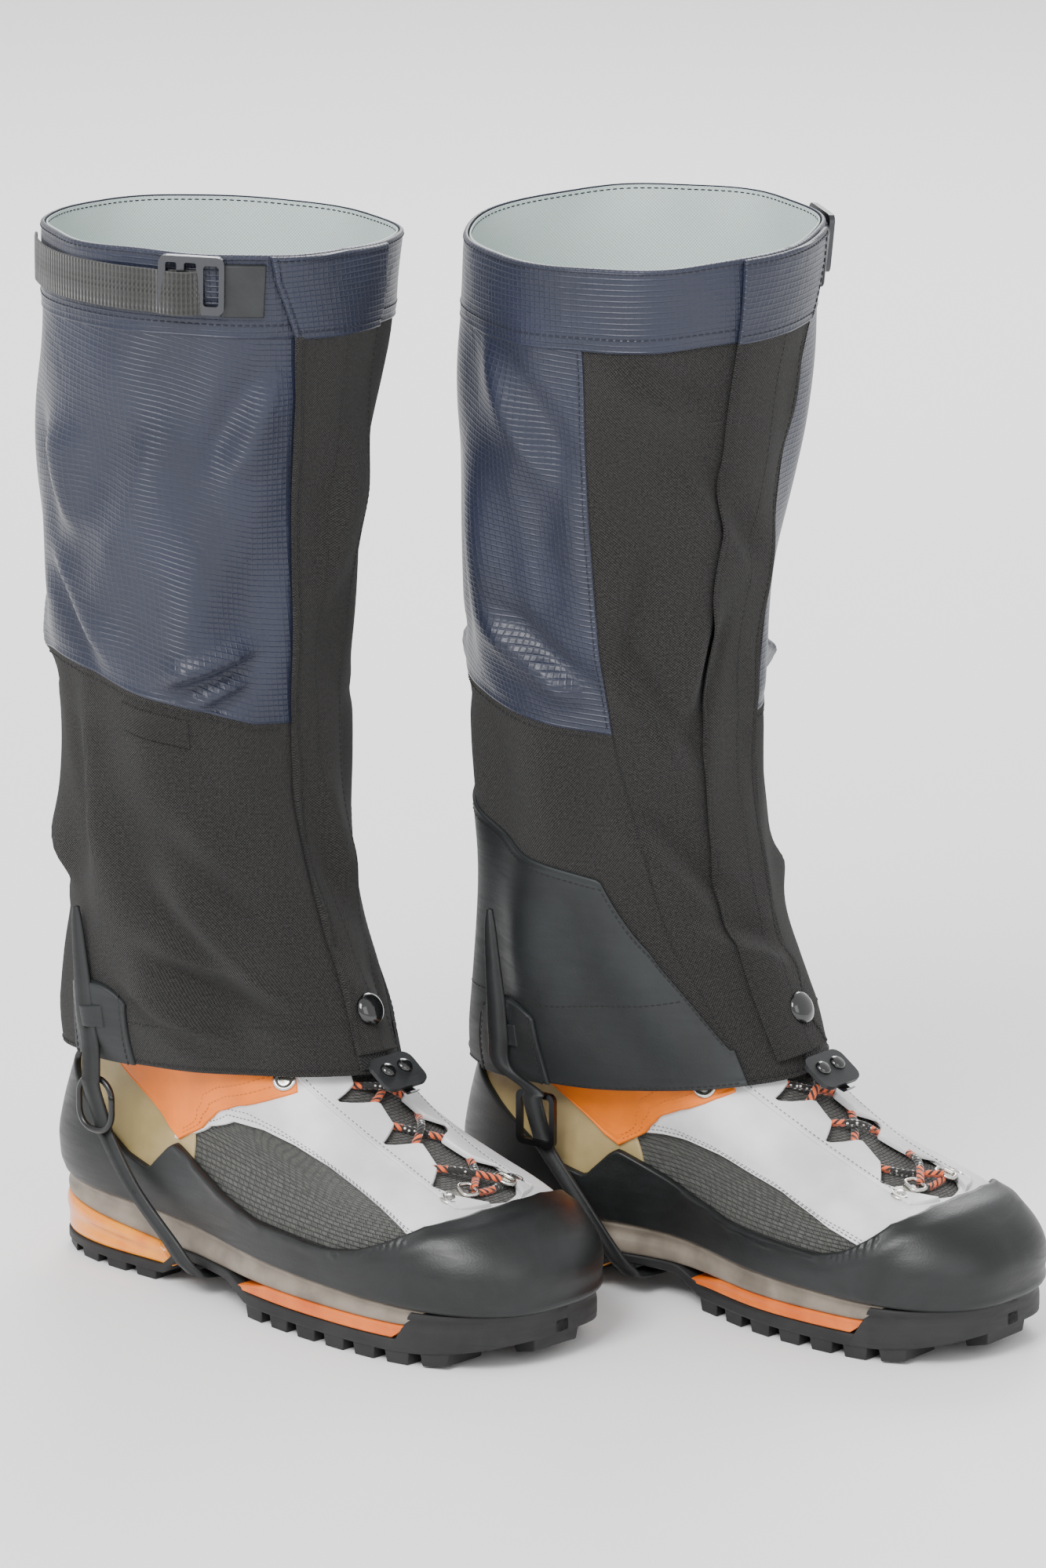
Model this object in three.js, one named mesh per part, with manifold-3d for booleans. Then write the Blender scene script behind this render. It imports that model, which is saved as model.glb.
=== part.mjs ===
// A pair of mountaineering boots with knee gaiters fitted over them.
//
// Each boot is built once, as a right boot, in its own axes:
//   f  forward from the back of the heel, m  towards the inner side of the foot, z  up.
// The left boot is the mirror image of the right one. Millimetres throughout, toes towards -Y.
import * as THREE from 'three';
import { mergeVertices } from 'three/addons/utils/BufferGeometryUtils.js';
import Module from 'manifold-3d';

const wasm = await Module();
wasm.setup();

// ---------------------------------------------------------------- driving dimensions
const SOLE_LENGTH = 301;
const PAIR_SPACING = 113;        // between the heels, sideways
const LEFT_LEAD = 148;           // the left boot stands this far ahead
const TOE_OUT = 2.6;             // degrees, each boot

const HEEL_LUG_HEIGHT = 9;
const FORE_LUG_HEIGHT = 12;
const ARCH_HEIGHT = 15;          // underside of the waist above the ground
const TOE_SPRING = 8;
const HEEL_BREAST = 90;          // where the heel block ends
const FORE_START = 142;          // where the forefoot lugs begin
const FORE_INSERT_END = 250;
const HEEL_STACK = 39;           // top of the midsole at the heel
const FORE_STACK = 26;           // top of the midsole at the ball
const INSERT_WALL = 2.5;         // how far the orange inserts sit behind the midsole's edge
const LUG_DEPTH = 24;
const LUG_LENGTH = 14;
const LUG_GAP = 5;

const LEATHER = 1.6;
const TEXTILE = 1.4;
const RAND = 2.2;
const LINER = 2.2;
const FOOTBED = 4;
const LACE_RADIUS = 1.8;
const GAP = 0.3;                 // between pieces that touch
const RAND_GAP = 1.3;            // rand above the leather, clear of its facets round the toe
const LAYER_GAP = 0.8;           // between layers that follow the same curved surface
const TEXTILE_GAP = 2.5;         // textile body behind the leather
const LINING_GAP = 2.6;          // padding between the textile body and the liner

const CLOTH = 1.2;               // gaiter cloth with its coating
const FLAP_CLEARANCE = 2.4;      // front flap above the gaiter's front panel
const RUBBER_PATCH = 1.4;
const RIM_HEIGHT = 494;
const HEM_HEIGHT = 38;
const RIM_SLANT = 4;             // the rim is higher outside than inside
const WEBBING_WIDTH = 20;
const WEBBING = 1.6;
const STRAP_DROP = 14;           // middle of the top strap below the rim
const STRAP_HEIGHT = RIM_HEIGHT - STRAP_DROP;
const FOOT_STRAP_WIDTH = 11;
const FOOT_STRAP = 2.6;
const FOOT_STRAP_PLACE = 112;    // where it crosses under the arch
const SNAP_RADIUS = 7.5;

// Rings of the boot's upper from the midsole to the collar:
// z back, z front, f back, f front, half width outside, inside, widest f outside, inside, power, waist
const UPPER = [
  [39, 26, 3, 297, 55.5, 49.5, 210, 230, 2.6, 1.0],
  [54, 41, 0, 300, 57.5, 51.0, 208, 228, 2.6, 0.95],
  [68, 53, 1, 294, 55.0, 49.0, 203, 220, 2.5, 0.85],
  [80, 62, 3, 280, 50.0, 46.0, 195, 208, 2.4, 0.65],
  [90, 70, 5, 255, 45.5, 43.0, 182, 192, 2.3, 0.45],
  [101, 80, 7, 228, 42.0, 40.5, 158, 165, 2.25, 0.25],
  [114, 95, 9, 200, 40.0, 38.5, 128, 132, 2.2, 0.1],
  [130, 112, 11, 177, 39.5, 37.5, 106, 106, 2.1, 0],
  [148, 134, 13, 161, 40.0, 38.5, 92, 92, 2.05, 0],
  [170, 160, 15, 152, 42.0, 41.0, 85, 85, 2.0, 0],
];
const SHAFT_BASE = 265;          // below this the gaiter keeps its heights when the rim moves
const TABLE_RIM = 494;           // rim height that the rings below are drawn for
const shaft = (z) => z + ((RIM_HEIGHT - TABLE_RIM) * Math.max(0, z - SHAFT_BASE)) / (TABLE_RIM - SHAFT_BASE);
// Rings of the gaiter from the hem over the instep to the rim:
// z back, z front, f back, f front, half width outside, inside
const GAITER = [
  [98, 114, -2, 189, 52.0, 50.0],
  [114, 133, 0, 180, 55.0, 53.0],
  [138, 156, 5, 169, 58.0, 56.0],
  [170, 180, 10, 157, 61.0, 60.0],
  [215, 219, 13, 147, 63.0, 62.0],
  [265, 265, 11, 143, 65.0, 64.0],
  [310, 310, 7, 145, 68.5, 67.5],
  [360, 360, 5, 151, 72.5, 71.5],
  [410, 410, 5.5, 158, 75.5, 75.0],
  [456, 456, 8, 166, 78.0, 77.5],
  [494, 494, 10, 170, 80.0, 79.5],
].map(([back, front, ...rest]) => [shaft(back), shaft(front), ...rest]);
const RIM = GAITER.length - 1;
const COLLAR = UPPER.length - 1;
const TABLE_LENGTH = 301;        // sole length that the two tables of rings are drawn for
const SCALE = SOLE_LENGTH / TABLE_LENGTH;
const TEXTILE_DEPTH = TEXTILE_GAP * SCALE;   // longer facets stand further off the curve

// ---------------------------------------------------------------- small helpers
const rad = (degrees) => (degrees * Math.PI) / 180;
const place = (f, m, z) => new THREE.Vector3(m, -f * SCALE, z);
const clamp = (x, low, high) => Math.min(high, Math.max(low, x));
const mix = (a, b, s) => a + (b - a) * s;
const bump = (x, middle, spread) => Math.exp(-(((x - middle) / spread) ** 2));
const smooth = (x, from, to) => {
  const s = clamp((x - from) / (to - from), 0, 1);
  return s * s * (3 - 2 * s);
};

// A value read off [x, y] knots with straight lines between them.
function knots(points, x) {
  if (x <= points[0][0]) return points[0][1];
  for (let i = 1; i < points.length; i += 1) {
    const [x0, y0] = points[i - 1];
    const [x1, y1] = points[i];
    if (x <= x1) return mix(y0, y1, (x - x0) / (x1 - x0));
  }
  return points[points.length - 1][1];
}

// A smooth row between the rows of a ring table.
function rowAt(rows, t) {
  const last = rows.length - 1;
  const i = clamp(Math.floor(t), 0, last - 1);
  const s = t - i;
  const row = (k) => rows[clamp(k, 0, last)];
  return rows[0].map((_, c) => {
    const start = row(i)[c];
    const end = row(i + 1)[c];
    const leave = (end - row(i - 1)[c]) / 2;
    const arrive = (row(i + 2)[c] - start) / 2;
    const s2 = s * s;
    const s3 = s2 * s;
    return start * (2 * s3 - 3 * s2 + 1) + leave * (s3 - 2 * s2 + s)
      + end * (3 * s2 - 2 * s3) + arrive * (s3 - s2);
  });
}

// One ring point: the angle runs from the toe (0) by the inner side (90) to the heel (180).
function ringPoint(angle, back, front, wideOut, wideIn, out, inn, power) {
  const c = Math.cos(rad(angle));
  const s = Math.sin(rad(angle));
  const reach = Math.sign(c) * Math.abs(c) ** (2 / power);
  const side = Math.sign(s) * Math.abs(s) ** (2 / power);
  const wide = s >= 0 ? wideIn : wideOut;
  const f = wide + (c >= 0 ? front - wide : wide - back) * reach;
  const m = (s >= 0 ? inn : out) * side;
  return [f, m];
}

// How far the waist of the sole is drawn in at f.
function waistAt(f, m) {
  const draw = m >= 0 ? 18 * bump(f, 132, 48) : 14 * bump(f, 98, 58);
  return Math.sign(m) * draw * clamp(Math.abs(m) / 20, 0, 1);
}

function upperPoint(angle, t) {
  const [zBack, zFront, back, front, out, inn, wideOut, wideIn, power, waist] = rowAt(UPPER, t);
  const [f, m] = ringPoint(angle, back, front, wideOut, wideIn, out, inn, power);
  const z = mix(zBack, zFront, (f - back) / (front - back));
  return place(f, m - waist * waistAt(f, m), z);
}

function gaiterPoint(angle, t) {
  const [zBack, zFront, back, front, out, inn] = rowAt(GAITER, t);
  const middle = (back + front) / 2;
  const [f, m] = ringPoint(angle, back, front, middle, middle, out, inn, 2.05);
  const rise = Math.max(0, (f - back) / (front - back)) ** 1.3;
  const z = mix(zBack, zFront, rise) - RIM_SLANT * Math.sin(rad(angle));
  return place(f, m, z);
}

// A point at a distance outside one of the two surfaces.
function off(surface, angle, t, distance) {
  const top = surface === upperPoint ? COLLAR : RIM;
  const step = 0.02;
  const round = surface(angle + 0.5, t).sub(surface(angle - 0.5, t));
  const up = surface(angle, Math.min(top, t + step)).sub(surface(angle, Math.max(0, t - step)));
  const normal = round.cross(up).normalize();
  return surface(angle, t).addScaledVector(normal, distance);
}

// The ring number of the gaiter at a height.
function gaiterLevel(angle, z) {
  let low = 0;
  let high = RIM;
  for (let k = 0; k < 24; k += 1) {
    const middle = (low + high) / 2;
    if (gaiterPoint(angle, middle).z < z) low = middle;
    else high = middle;
  }
  return (low + high) / 2;
}

// ---------------------------------------------------------------- solids
function meshOf(points, faces) {
  const geometry = new THREE.BufferGeometry();
  geometry.setAttribute('position', new THREE.Float32BufferAttribute(points.flatMap((p) => p.toArray()), 3));
  geometry.setIndex(faces);
  return geometry;
}

// A closed skin between an outer and an inner grid of points; `around` closes it in a ring.
function skin(outer, inner, around = false) {
  const columns = outer.length;
  const rows = outer[0].length;
  const points = [...outer.flat(), ...inner.flat()];
  const faces = [];
  const out = (i, j) => (i % columns) * rows + j;
  const inn = (i, j) => columns * rows + (i % columns) * rows + j;
  const quad = (a, b, c, d) => faces.push(a, b, c, a, c, d);
  const last = around ? columns : columns - 1;
  for (let i = 0; i < last; i += 1) {
    for (let j = 0; j < rows - 1; j += 1) {
      quad(out(i, j), out(i + 1, j), out(i + 1, j + 1), out(i, j + 1));
      quad(inn(i, j), inn(i, j + 1), inn(i + 1, j + 1), inn(i + 1, j));
    }
    quad(inn(i, 0), inn(i + 1, 0), out(i + 1, 0), out(i, 0));
    quad(out(i, rows - 1), out(i + 1, rows - 1), inn(i + 1, rows - 1), inn(i, rows - 1));
  }
  if (!around) {
    for (let j = 0; j < rows - 1; j += 1) {
      quad(inn(0, j), out(0, j), out(0, j + 1), inn(0, j + 1));
      quad(out(columns - 1, j), inn(columns - 1, j), inn(columns - 1, j + 1), out(columns - 1, j + 1));
    }
  }
  return meshOf(points, faces);
}

// A panel of even thickness on a surface, between two angles and two edge lines.
function panel(surface, { from, to, low, high, inner, outer, columns, rows, around = false }) {
  const value = (edge, angle) => (typeof edge === 'function' ? edge(angle) : edge);
  const count = around ? columns : columns + 1;
  const grid = (distance) => Array.from({ length: count }, (_, i) => {
    const angle = mix(from, to, i / columns);
    return Array.from({ length: rows + 1 }, (__, j) => {
      const t = mix(value(low, angle), value(high, angle), j / rows);
      return off(surface, angle, t, distance);
    });
  });
  return skin(grid(outer), grid(inner), around);
}

// A solid through rings of points, closed by a flat fan at both ends.
function loft(rings) {
  const size = rings[0].length;
  const points = rings.flat();
  const faces = [];
  for (let r = 0; r < rings.length - 1; r += 1) {
    for (let i = 0; i < size; i += 1) {
      const a = r * size + i;
      const b = r * size + ((i + 1) % size);
      faces.push(a, b, b + size, a, b + size, a + size);
    }
  }
  const centre = (ring) => ring.reduce((sum, p) => sum.add(p), new THREE.Vector3()).divideScalar(size);
  const first = points.push(centre(rings[0])) - 1;
  const final = points.push(centre(rings[rings.length - 1])) - 1;
  const start = (rings.length - 1) * size;
  for (let i = 0; i < size; i += 1) {
    const next = (i + 1) % size;
    faces.push(first, next, i);
    faces.push(final, start + i, start + next);
  }
  return meshOf(points, faces);
}

// Half widths of the sole at f.
function soleEdge(f, inside) {
  const [, , back, front, out, inn, wideOut, wideIn, power] = UPPER[0];
  const wide = inside ? wideIn : wideOut;
  const reach = f >= wide ? (f - wide) / (front + 4 - wide) : (wide - f) / (wide - back + 3);
  const half = (inside ? inn : out) + 1.5;
  const side = half * Math.max(0, 1 - clamp(reach, 0, 1) ** power) ** (1 / power);
  const m = inside ? side : -side;
  return m - waistAt(f, m);
}

const SOLE_STATIONS = [
  3, 10, 22, 40, 62, HEEL_BREAST - 6, HEEL_BREAST + 6, HEEL_BREAST + 24, FORE_START - 8, FORE_START + 8,
  172, 194, 216, 236, 252, 262, 272, 282, 290, 296,
];

const toeLift = (f) => TOE_SPRING * clamp((f - 245) / (SOLE_LENGTH / SCALE - 245), 0, 1) ** 2;

// A slab that follows the sole's outline between two distances from the heel.
function soleSlab({ from, to, bottom, top, inset = 0 }) {
  const stations = [from, ...SOLE_STATIONS.filter((f) => f > from + 1 && f < to - 1), to];
  const rings = stations.map((f) => {
    const inside = Math.max(soleEdge(f, true) - inset, 1.5);
    const outside = Math.min(soleEdge(f, false) + inset, -1.5);
    return [
      place(f, outside, bottom(f)), place(f, inside, bottom(f)),
      place(f, inside, top(f)), place(f, outside, top(f)),
    ];
  });
  return loft(rings);
}

function solid(geometry) {
  const bare = geometry.clone();
  bare.deleteAttribute('normal');
  bare.deleteAttribute('uv');
  const merged = mergeVertices(bare, 1e-4);
  const mesh = new wasm.Mesh({
    numProp: 3,
    vertProperties: new Float32Array(merged.attributes.position.array),
    triVerts: new Uint32Array(merged.index.array),
  });
  mesh.merge();
  return new wasm.Manifold(mesh);
}

function fromSolid(manifold) {
  const mesh = manifold.getMesh();
  const geometry = new THREE.BufferGeometry();
  geometry.setAttribute('position', new THREE.BufferAttribute(new Float32Array(mesh.vertProperties), 3));
  geometry.setIndex(new THREE.BufferAttribute(new Uint32Array(mesh.triVerts), 1));
  return geometry;
}

const join = (geometries) => fromSolid(geometries.map(solid).reduce((all, next) => all.add(next)));

// Stands a flat outline on a surface: x along the surface to the right, y up the surface.
function seat(geometry, surface, angle, t, distance) {
  const origin = off(surface, angle, t, distance);
  const outward = off(surface, angle, t, 1).sub(off(surface, angle, t, 0)).normalize();
  const along = surface(angle + 1, t).sub(surface(angle - 1, t)).normalize();
  const up = outward.clone().cross(along).normalize();
  along.crossVectors(up, outward);
  return geometry.clone().applyMatrix4(new THREE.Matrix4().makeBasis(along, up, outward).setPosition(origin));
}

function roundedShape(width, height, radius) {
  const shape = new THREE.Shape();
  const x = width / 2;
  const y = height / 2;
  shape.moveTo(-x + radius, -y);
  shape.lineTo(x - radius, -y);
  shape.absarc(x - radius, -y + radius, radius, -Math.PI / 2, 0);
  shape.lineTo(x, y - radius);
  shape.absarc(x - radius, y - radius, radius, 0, Math.PI / 2);
  shape.lineTo(-x + radius, y);
  shape.absarc(-x + radius, y - radius, radius, Math.PI / 2, Math.PI);
  shape.lineTo(-x, -y + radius);
  shape.absarc(-x + radius, -y + radius, radius, Math.PI, 1.5 * Math.PI);
  return shape;
}

const plate = (shape, depth) => new THREE.ExtrudeGeometry(shape, { depth, bevelEnabled: false, curveSegments: 2 });

// A low dome standing on z = 0, with its axis along z.
function dome(radius, height) {
  const profile = [[0, 0], [radius, 0], [radius, height * 0.4], [radius * 0.6, height], [0, height]];
  const turned = new THREE.LatheGeometry(profile.map(([x, y]) => new THREE.Vector2(x, y)), 10);
  return turned.rotateX(Math.PI / 2);
}

// A cord or flat strap along a smooth curve.
function swept(points, outline, steps) {
  const shape = new THREE.Shape(outline.map(([x, y]) => new THREE.Vector2(x, y)));
  const extrudePath = new THREE.CatmullRomCurve3(points);
  return new THREE.ExtrudeGeometry(shape, { steps, extrudePath, bevelEnabled: false });
}

// A strap of even width laid along a line of centres, with a width direction at each.
function strapAlong(stations, thickness) {
  return loft(stations.map(({ centre, across, width, outward }) => {
    const side = across.clone().normalize().multiplyScalar(width / 2);
    const lift = outward.clone().normalize().multiplyScalar(thickness);
    return [
      centre.clone().sub(side), centre.clone().add(side),
      centre.clone().add(side).add(lift), centre.clone().sub(side).add(lift),
    ];
  }));
}

const piece = (name, geometry, colour, roughness, metalness = 0) => {
  const mesh = new THREE.Mesh(geometry, new THREE.MeshStandardMaterial({ color: colour, roughness, metalness }));
  mesh.name = name;
  return mesh;
};

// ---------------------------------------------------------------- sole
const midsoleTop = (f) => mix(HEEL_STACK, FORE_STACK, (f - 3) / 294) - GAP;
const insertTop = (f) => (f < HEEL_BREAST ? HEEL_STACK - 11 : FORE_STACK - 7.5);
const outsoleTop = (f) => knots([
  [0, HEEL_LUG_HEIGHT], [HEEL_BREAST - 6, HEEL_LUG_HEIGHT], [HEEL_BREAST + 6, ARCH_HEIGHT + 4],
  [FORE_START - 8, ARCH_HEIGHT + 3], [FORE_START + 8, FORE_LUG_HEIGHT], [252, FORE_LUG_HEIGHT],
  [272, FORE_STACK - 6], [300, FORE_STACK - 9],
], f) + toeLift(f);
const tread = (f) => knots([
  [0, HEEL_LUG_HEIGHT - 4.5], [HEEL_BREAST - 6, HEEL_LUG_HEIGHT - 4.5], [HEEL_BREAST + 6, ARCH_HEIGHT],
  [FORE_START - 8, ARCH_HEIGHT - 1], [FORE_START + 8, FORE_LUG_HEIGHT - 6], [300, FORE_LUG_HEIGHT - 6],
], f) + toeLift(f);
const midsoleBottom = (f) => knots([
  [0, HEEL_STACK - 11 + GAP], [HEEL_BREAST - 6, HEEL_STACK - 11 + GAP],
  [HEEL_BREAST + 6, ARCH_HEIGHT + 4 + GAP], [FORE_START - 8, ARCH_HEIGHT + 3.5 + GAP],
  [FORE_START + 8, FORE_STACK - 7.5 + GAP], [252, FORE_STACK - 7.5 + GAP],
  [272, FORE_STACK - 6 + GAP], [300, FORE_STACK - 9 + GAP],
], f) + toeLift(f);

// One lug: a block that reaches in from the sole's edge, or stands in the middle.
function lug(f, length, inside, depth, centred = false) {
  const corners = [[f - length / 2, 0], [f + length / 2, 0], [f + length / 2, 1], [f - length / 2, 1]];
  const ring = (z) => corners.map(([at, deep]) => {
    const edge = soleEdge(at, inside) * 0.995;
    const m = centred ? (deep - 0.5) * depth : edge - Math.sign(edge) * deep * depth;
    return place(at, m, z(at));
  });
  const rings = [ring(toeLift), ring((at) => tread(at) + 1)];
  return centred || !inside ? loft(rings) : loft(rings.map((r) => r.reverse()));
}

function outsole() {
  const sole = soleSlab({ from: 0, to: 300, bottom: tread, top: outsoleTop });
  const blocks = [lug(40, 34, true, 26, true)];
  const pitch = LUG_LENGTH + LUG_GAP;
  for (let f = 16; f < HEEL_BREAST - 8; f += pitch) {
    blocks.push(lug(f, LUG_LENGTH, true, LUG_DEPTH - 6), lug(f, LUG_LENGTH, false, LUG_DEPTH - 6));
  }
  for (let f = FORE_START + 14; f < 284; f += pitch) {
    blocks.push(lug(f, LUG_LENGTH, true, LUG_DEPTH), lug(f, LUG_LENGTH, false, LUG_DEPTH));
  }
  for (let f = FORE_START + 26; f < 270; f += pitch * 1.4) {
    blocks.push(lug(f, LUG_LENGTH, true, 22, true));
  }
  return join([sole, ...blocks]);
}

function soleParts() {
  const heelInsert = soleSlab({
    from: 0, to: HEEL_BREAST - 7, inset: INSERT_WALL,
    bottom: () => HEEL_LUG_HEIGHT + GAP, top: insertTop,
  });
  const foreInsert = soleSlab({
    from: FORE_START + 8.5, to: FORE_INSERT_END, inset: INSERT_WALL,
    bottom: (f) => FORE_LUG_HEIGHT + GAP + toeLift(f), top: (f) => insertTop(f) + toeLift(f),
  });
  const midsole = soleSlab({ from: 0, to: 289, bottom: midsoleBottom, top: midsoleTop });
  const footbed = soleSlab({
    from: 20, to: 276, inset: 21,
    bottom: (f) => midsoleTop(f) + 2 * GAP + LINER + LAYER_GAP,
    top: (f) => midsoleTop(f) + 2 * GAP + LINER + LAYER_GAP + FOOTBED,
  });
  return [
    piece('outsole', outsole(), 0x232324, 0.75),
    piece('heel_insert', heelInsert, 0xf0a030, 0.3),
    piece('forefoot_insert', foreInsert, 0xe58a35, 0.5),
    piece('midsole', midsole, 0xa39b8e, 0.6),
    piece('footbed', footbed, 0x4a4f52, 0.9),
  ];
}

// ---------------------------------------------------------------- upper
const THROAT_START = 3.7;        // ring where the lacing gap begins
const THROAT_ANGLE = 27;         // half of the gap at the top
const randTop = (angle) => knots([
  [0, 3.4], [20, 3.3], [40, 3], [50, 2.7], [60, 2.3], [70, 1.9], [80, 1.4], [90, 1.15], [100, 1.2], [110, 1.7],
  [120, 1.3], [130, 1.6], [140, 2.4], [150, 3.1], [160, 3.7], [180, 4.2],
], angle > 180 ? 360 - angle : angle);
const throatEdge = (angle) => mix(THROAT_START, 6.9, clamp(Math.abs(angle) / THROAT_ANGLE, 0, 1));
const meshTop = (angle) => knots([[30, 0.3], [50, 1.3], [60, 2.1], [85, 2.9], [105, 2.5]], Math.abs(angle));

function upperParts() {
  const sideMesh = panel(upperPoint, {
    from: -120, to: 120, low: 0.4, high: (angle) => knots([[0, 0.8], [50, 0.9], [62, 3.0], [120, 3.2]], Math.abs(angle)),
    inner: -TEXTILE - TEXTILE_DEPTH, outer: -TEXTILE_DEPTH, columns: 24, rows: 4,
  });
  const vamp = panel(upperPoint, {
    from: -100, to: 100, inner: 0, outer: LEATHER, columns: 20, rows: 7,
    low: meshTop,
    high: (angle) => (Math.abs(angle) < THROAT_ANGLE ? throatEdge(angle)
      : knots([[27, 6.9], [78, 5.4], [100, 3.2]], Math.abs(angle))),
  });
  const cuff = panel(upperPoint, {
    from: 80, to: 280, inner: 0, outer: LEATHER, columns: 20, rows: 4, high: COLLAR,
    low: (angle) => knots([[80, 5.65], [90, 4.75], [100, 3.6], [110, 2.8], [130, 2.4], [140, 5.4], [180, 5.4]],
      angle > 180 ? 360 - angle : angle),
  });
  const heelPanel = panel(upperPoint, {
    from: 141, to: 219, inner: 0, outer: LEATHER, columns: 8, rows: 4, low: 0.3, high: 5.1,
  });
  const rand = panel(upperPoint, {
    from: 0, to: 360, low: 0.2, high: randTop, inner: LEATHER + RAND_GAP, outer: LEATHER + RAND_GAP + RAND,
    columns: 40, rows: 5, around: true,
  });
  const tongue = panel(upperPoint, {
    from: -38, to: 38, low: (angle) => 3.3 + 0.9 * (Math.abs(angle) / 38), high: COLLAR,
    inner: -TEXTILE - TEXTILE_DEPTH, outer: -TEXTILE_DEPTH, columns: 8, rows: 8,
  });
  return [
    piece('vamp', vamp, 0xc9c9cb, 0.5),
    piece('ankle_cuff', cuff, 0xef9a3d, 0.6),
    piece('heel_panel', heelPanel, 0xa89468, 0.7),
    piece('side_mesh', sideMesh, 0x5a5b56, 0.9),
    piece('rubber_rand', rand, 0x2b2f30, 0.55),
    piece('tongue', tongue, 0x2a2a2a, 0.9),
    piece('liner', liner(), 0x3a3c3e, 0.95),
  ];
}

// The sock inside the boot, closed under the foot and open at the collar.
function liner() {
  const count = 26;
  const levels = [COLLAR - 0.05, 7.5, 6, 4.5, 3, 1.8, 0.8];
  const outside = -TEXTILE - TEXTILE_DEPTH - LINING_GAP;
  const ring = (t, distance) => Array.from({ length: count }, (_, i) => off(upperPoint, (360 * i) / count, t, distance));
  const floor = (share, rise) => Array.from({ length: count }, (_, i) => {
    const edge = off(upperPoint, (360 * i) / count, 0.4, outside - LINER);
    const f = mix(145, -edge.y / SCALE, share);
    return place(f, edge.x * share, midsoleTop(f) + rise);
  });
  const outer = levels.map((t) => ring(t, outside));
  const inner = levels.map((t) => ring(t, outside - LINER));
  return loft([
    floor(0.4, GAP), floor(1, GAP), ...outer.reverse(),
    ...inner, floor(0.94, GAP + LINER), floor(0.4, GAP + LINER),
  ]);
}

// The lace runs down one side of the throat, across at the toe end, and up the other side.
function lace() {
  const turns = [[-20, 6.65], [-24, 6.25], [23, 5.7], [-21, 5.1], [19, 4.5], [-16, 3.95]];
  const lift = LEATHER + LACE_RADIUS + 2 * LAYER_GAP;
  const over = lift + 2 * LACE_RADIUS + LAYER_GAP;
  const strand = (side, middle) => turns.flatMap(([angle, t], i) => {
    const here = off(upperPoint, side * angle, t, lift);
    if (i === 0 || i === turns.length - 1) return [here];
    const [nextAngle, nextT] = turns[i + 1];
    return [here, off(upperPoint, side * 0.5 * (angle + nextAngle), 0.5 * (t + nextT), middle)];
  });
  const under = strand(1, lift - GAP);
  const upper = strand(-1, over).reverse();
  const toe = off(upperPoint, 0, 3.9, lift);
  const hexagon = Array.from({ length: 6 }, (_, i) => [
    LACE_RADIUS * Math.cos((Math.PI * i) / 3), LACE_RADIUS * Math.sin((Math.PI * i) / 3),
  ]);
  return swept([...under, toe, ...upper], hexagon, 46);
}

// ---------------------------------------------------------------- gaiter
const SEAM_HEIGHT = shaft(274);  // where the light upper cloth meets the heavy lower cloth
const seamLevel = (angle) => gaiterLevel(angle, SEAM_HEIGHT);
const FLAP_SEAM = 19;            // angle of the flap's sewn edge
const flapEdge = (t) => knots([[0, -13], [3, -8], [5, -9], [7, -13], [9, -20], [9.6, -28], [10, -29]], t);
const FRONT_UNDER = 3;           // degrees the front cloth stops inside the free edge of the flap
const frontFrom = (t) => flapEdge(t) + FRONT_UNDER;
const frontTo = (t) => knots([[0, 34], [4, 50], [5, 58], [9.2, 76]], t);

// A panel whose side edges slant with height.
function slantedPanel(surface, { levels, left, right, inner, outer, columns }) {
  const grid = (distance) => Array.from({ length: columns + 1 }, (_, i) => levels.map(
    (t) => off(surface, mix(left(t), right(t), i / columns), t, distance),
  ));
  return skin(grid(outer), grid(inner));
}

function gaiterPanels() {
  const hem = gaiterLevel(0, RIM_HEIGHT - HEM_HEIGHT);
  const seam = seamLevel(90);
  const slit = 0.8;
  const front = slantedPanel(gaiterPoint, {
    levels: [0, 1, 2, 3, 4, seam, 6, 7, 8, hem - 0.03],
    left: frontFrom, right: frontTo, inner: -CLOTH, outer: 0, columns: 9,
  });
  const lower = slantedPanel(gaiterPoint, {
    levels: [0, 1, 2, 3, 4, seam - 0.03],
    left: (t) => frontTo(t) + slit, right: (t) => 360 + frontFrom(t) - slit, inner: -CLOTH, outer: 0, columns: 16,
  });
  const upper = slantedPanel(gaiterPoint, {
    levels: [seam, 6, 7, 8, hem + 0.05],
    left: (t) => frontTo(t) + slit, right: (t) => 360 + frontFrom(t) - slit, inner: -CLOTH, outer: 0, columns: 16,
  });
  const band = panel(gaiterPoint, {
    from: 0, to: 360, low: hem, high: RIM, inner: -CLOTH, outer: 0, columns: 24, rows: 1, around: true,
  });
  return [
    piece('gaiter_front_panel', front, 0x2e2c2b, 0.9),
    piece('gaiter_lower_panel', lower, 0x2e2c2b, 0.9),
    piece('gaiter_upper_panel', join([upper, band]), 0x3d4356, 0.7),
  ];
}

const KICK_PATCH = { from: 36, to: 148 };
const ANCHOR_OUT = { from: 234, to: 264 };
const ANCHOR_IN = { from: 100, to: 130 };

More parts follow.
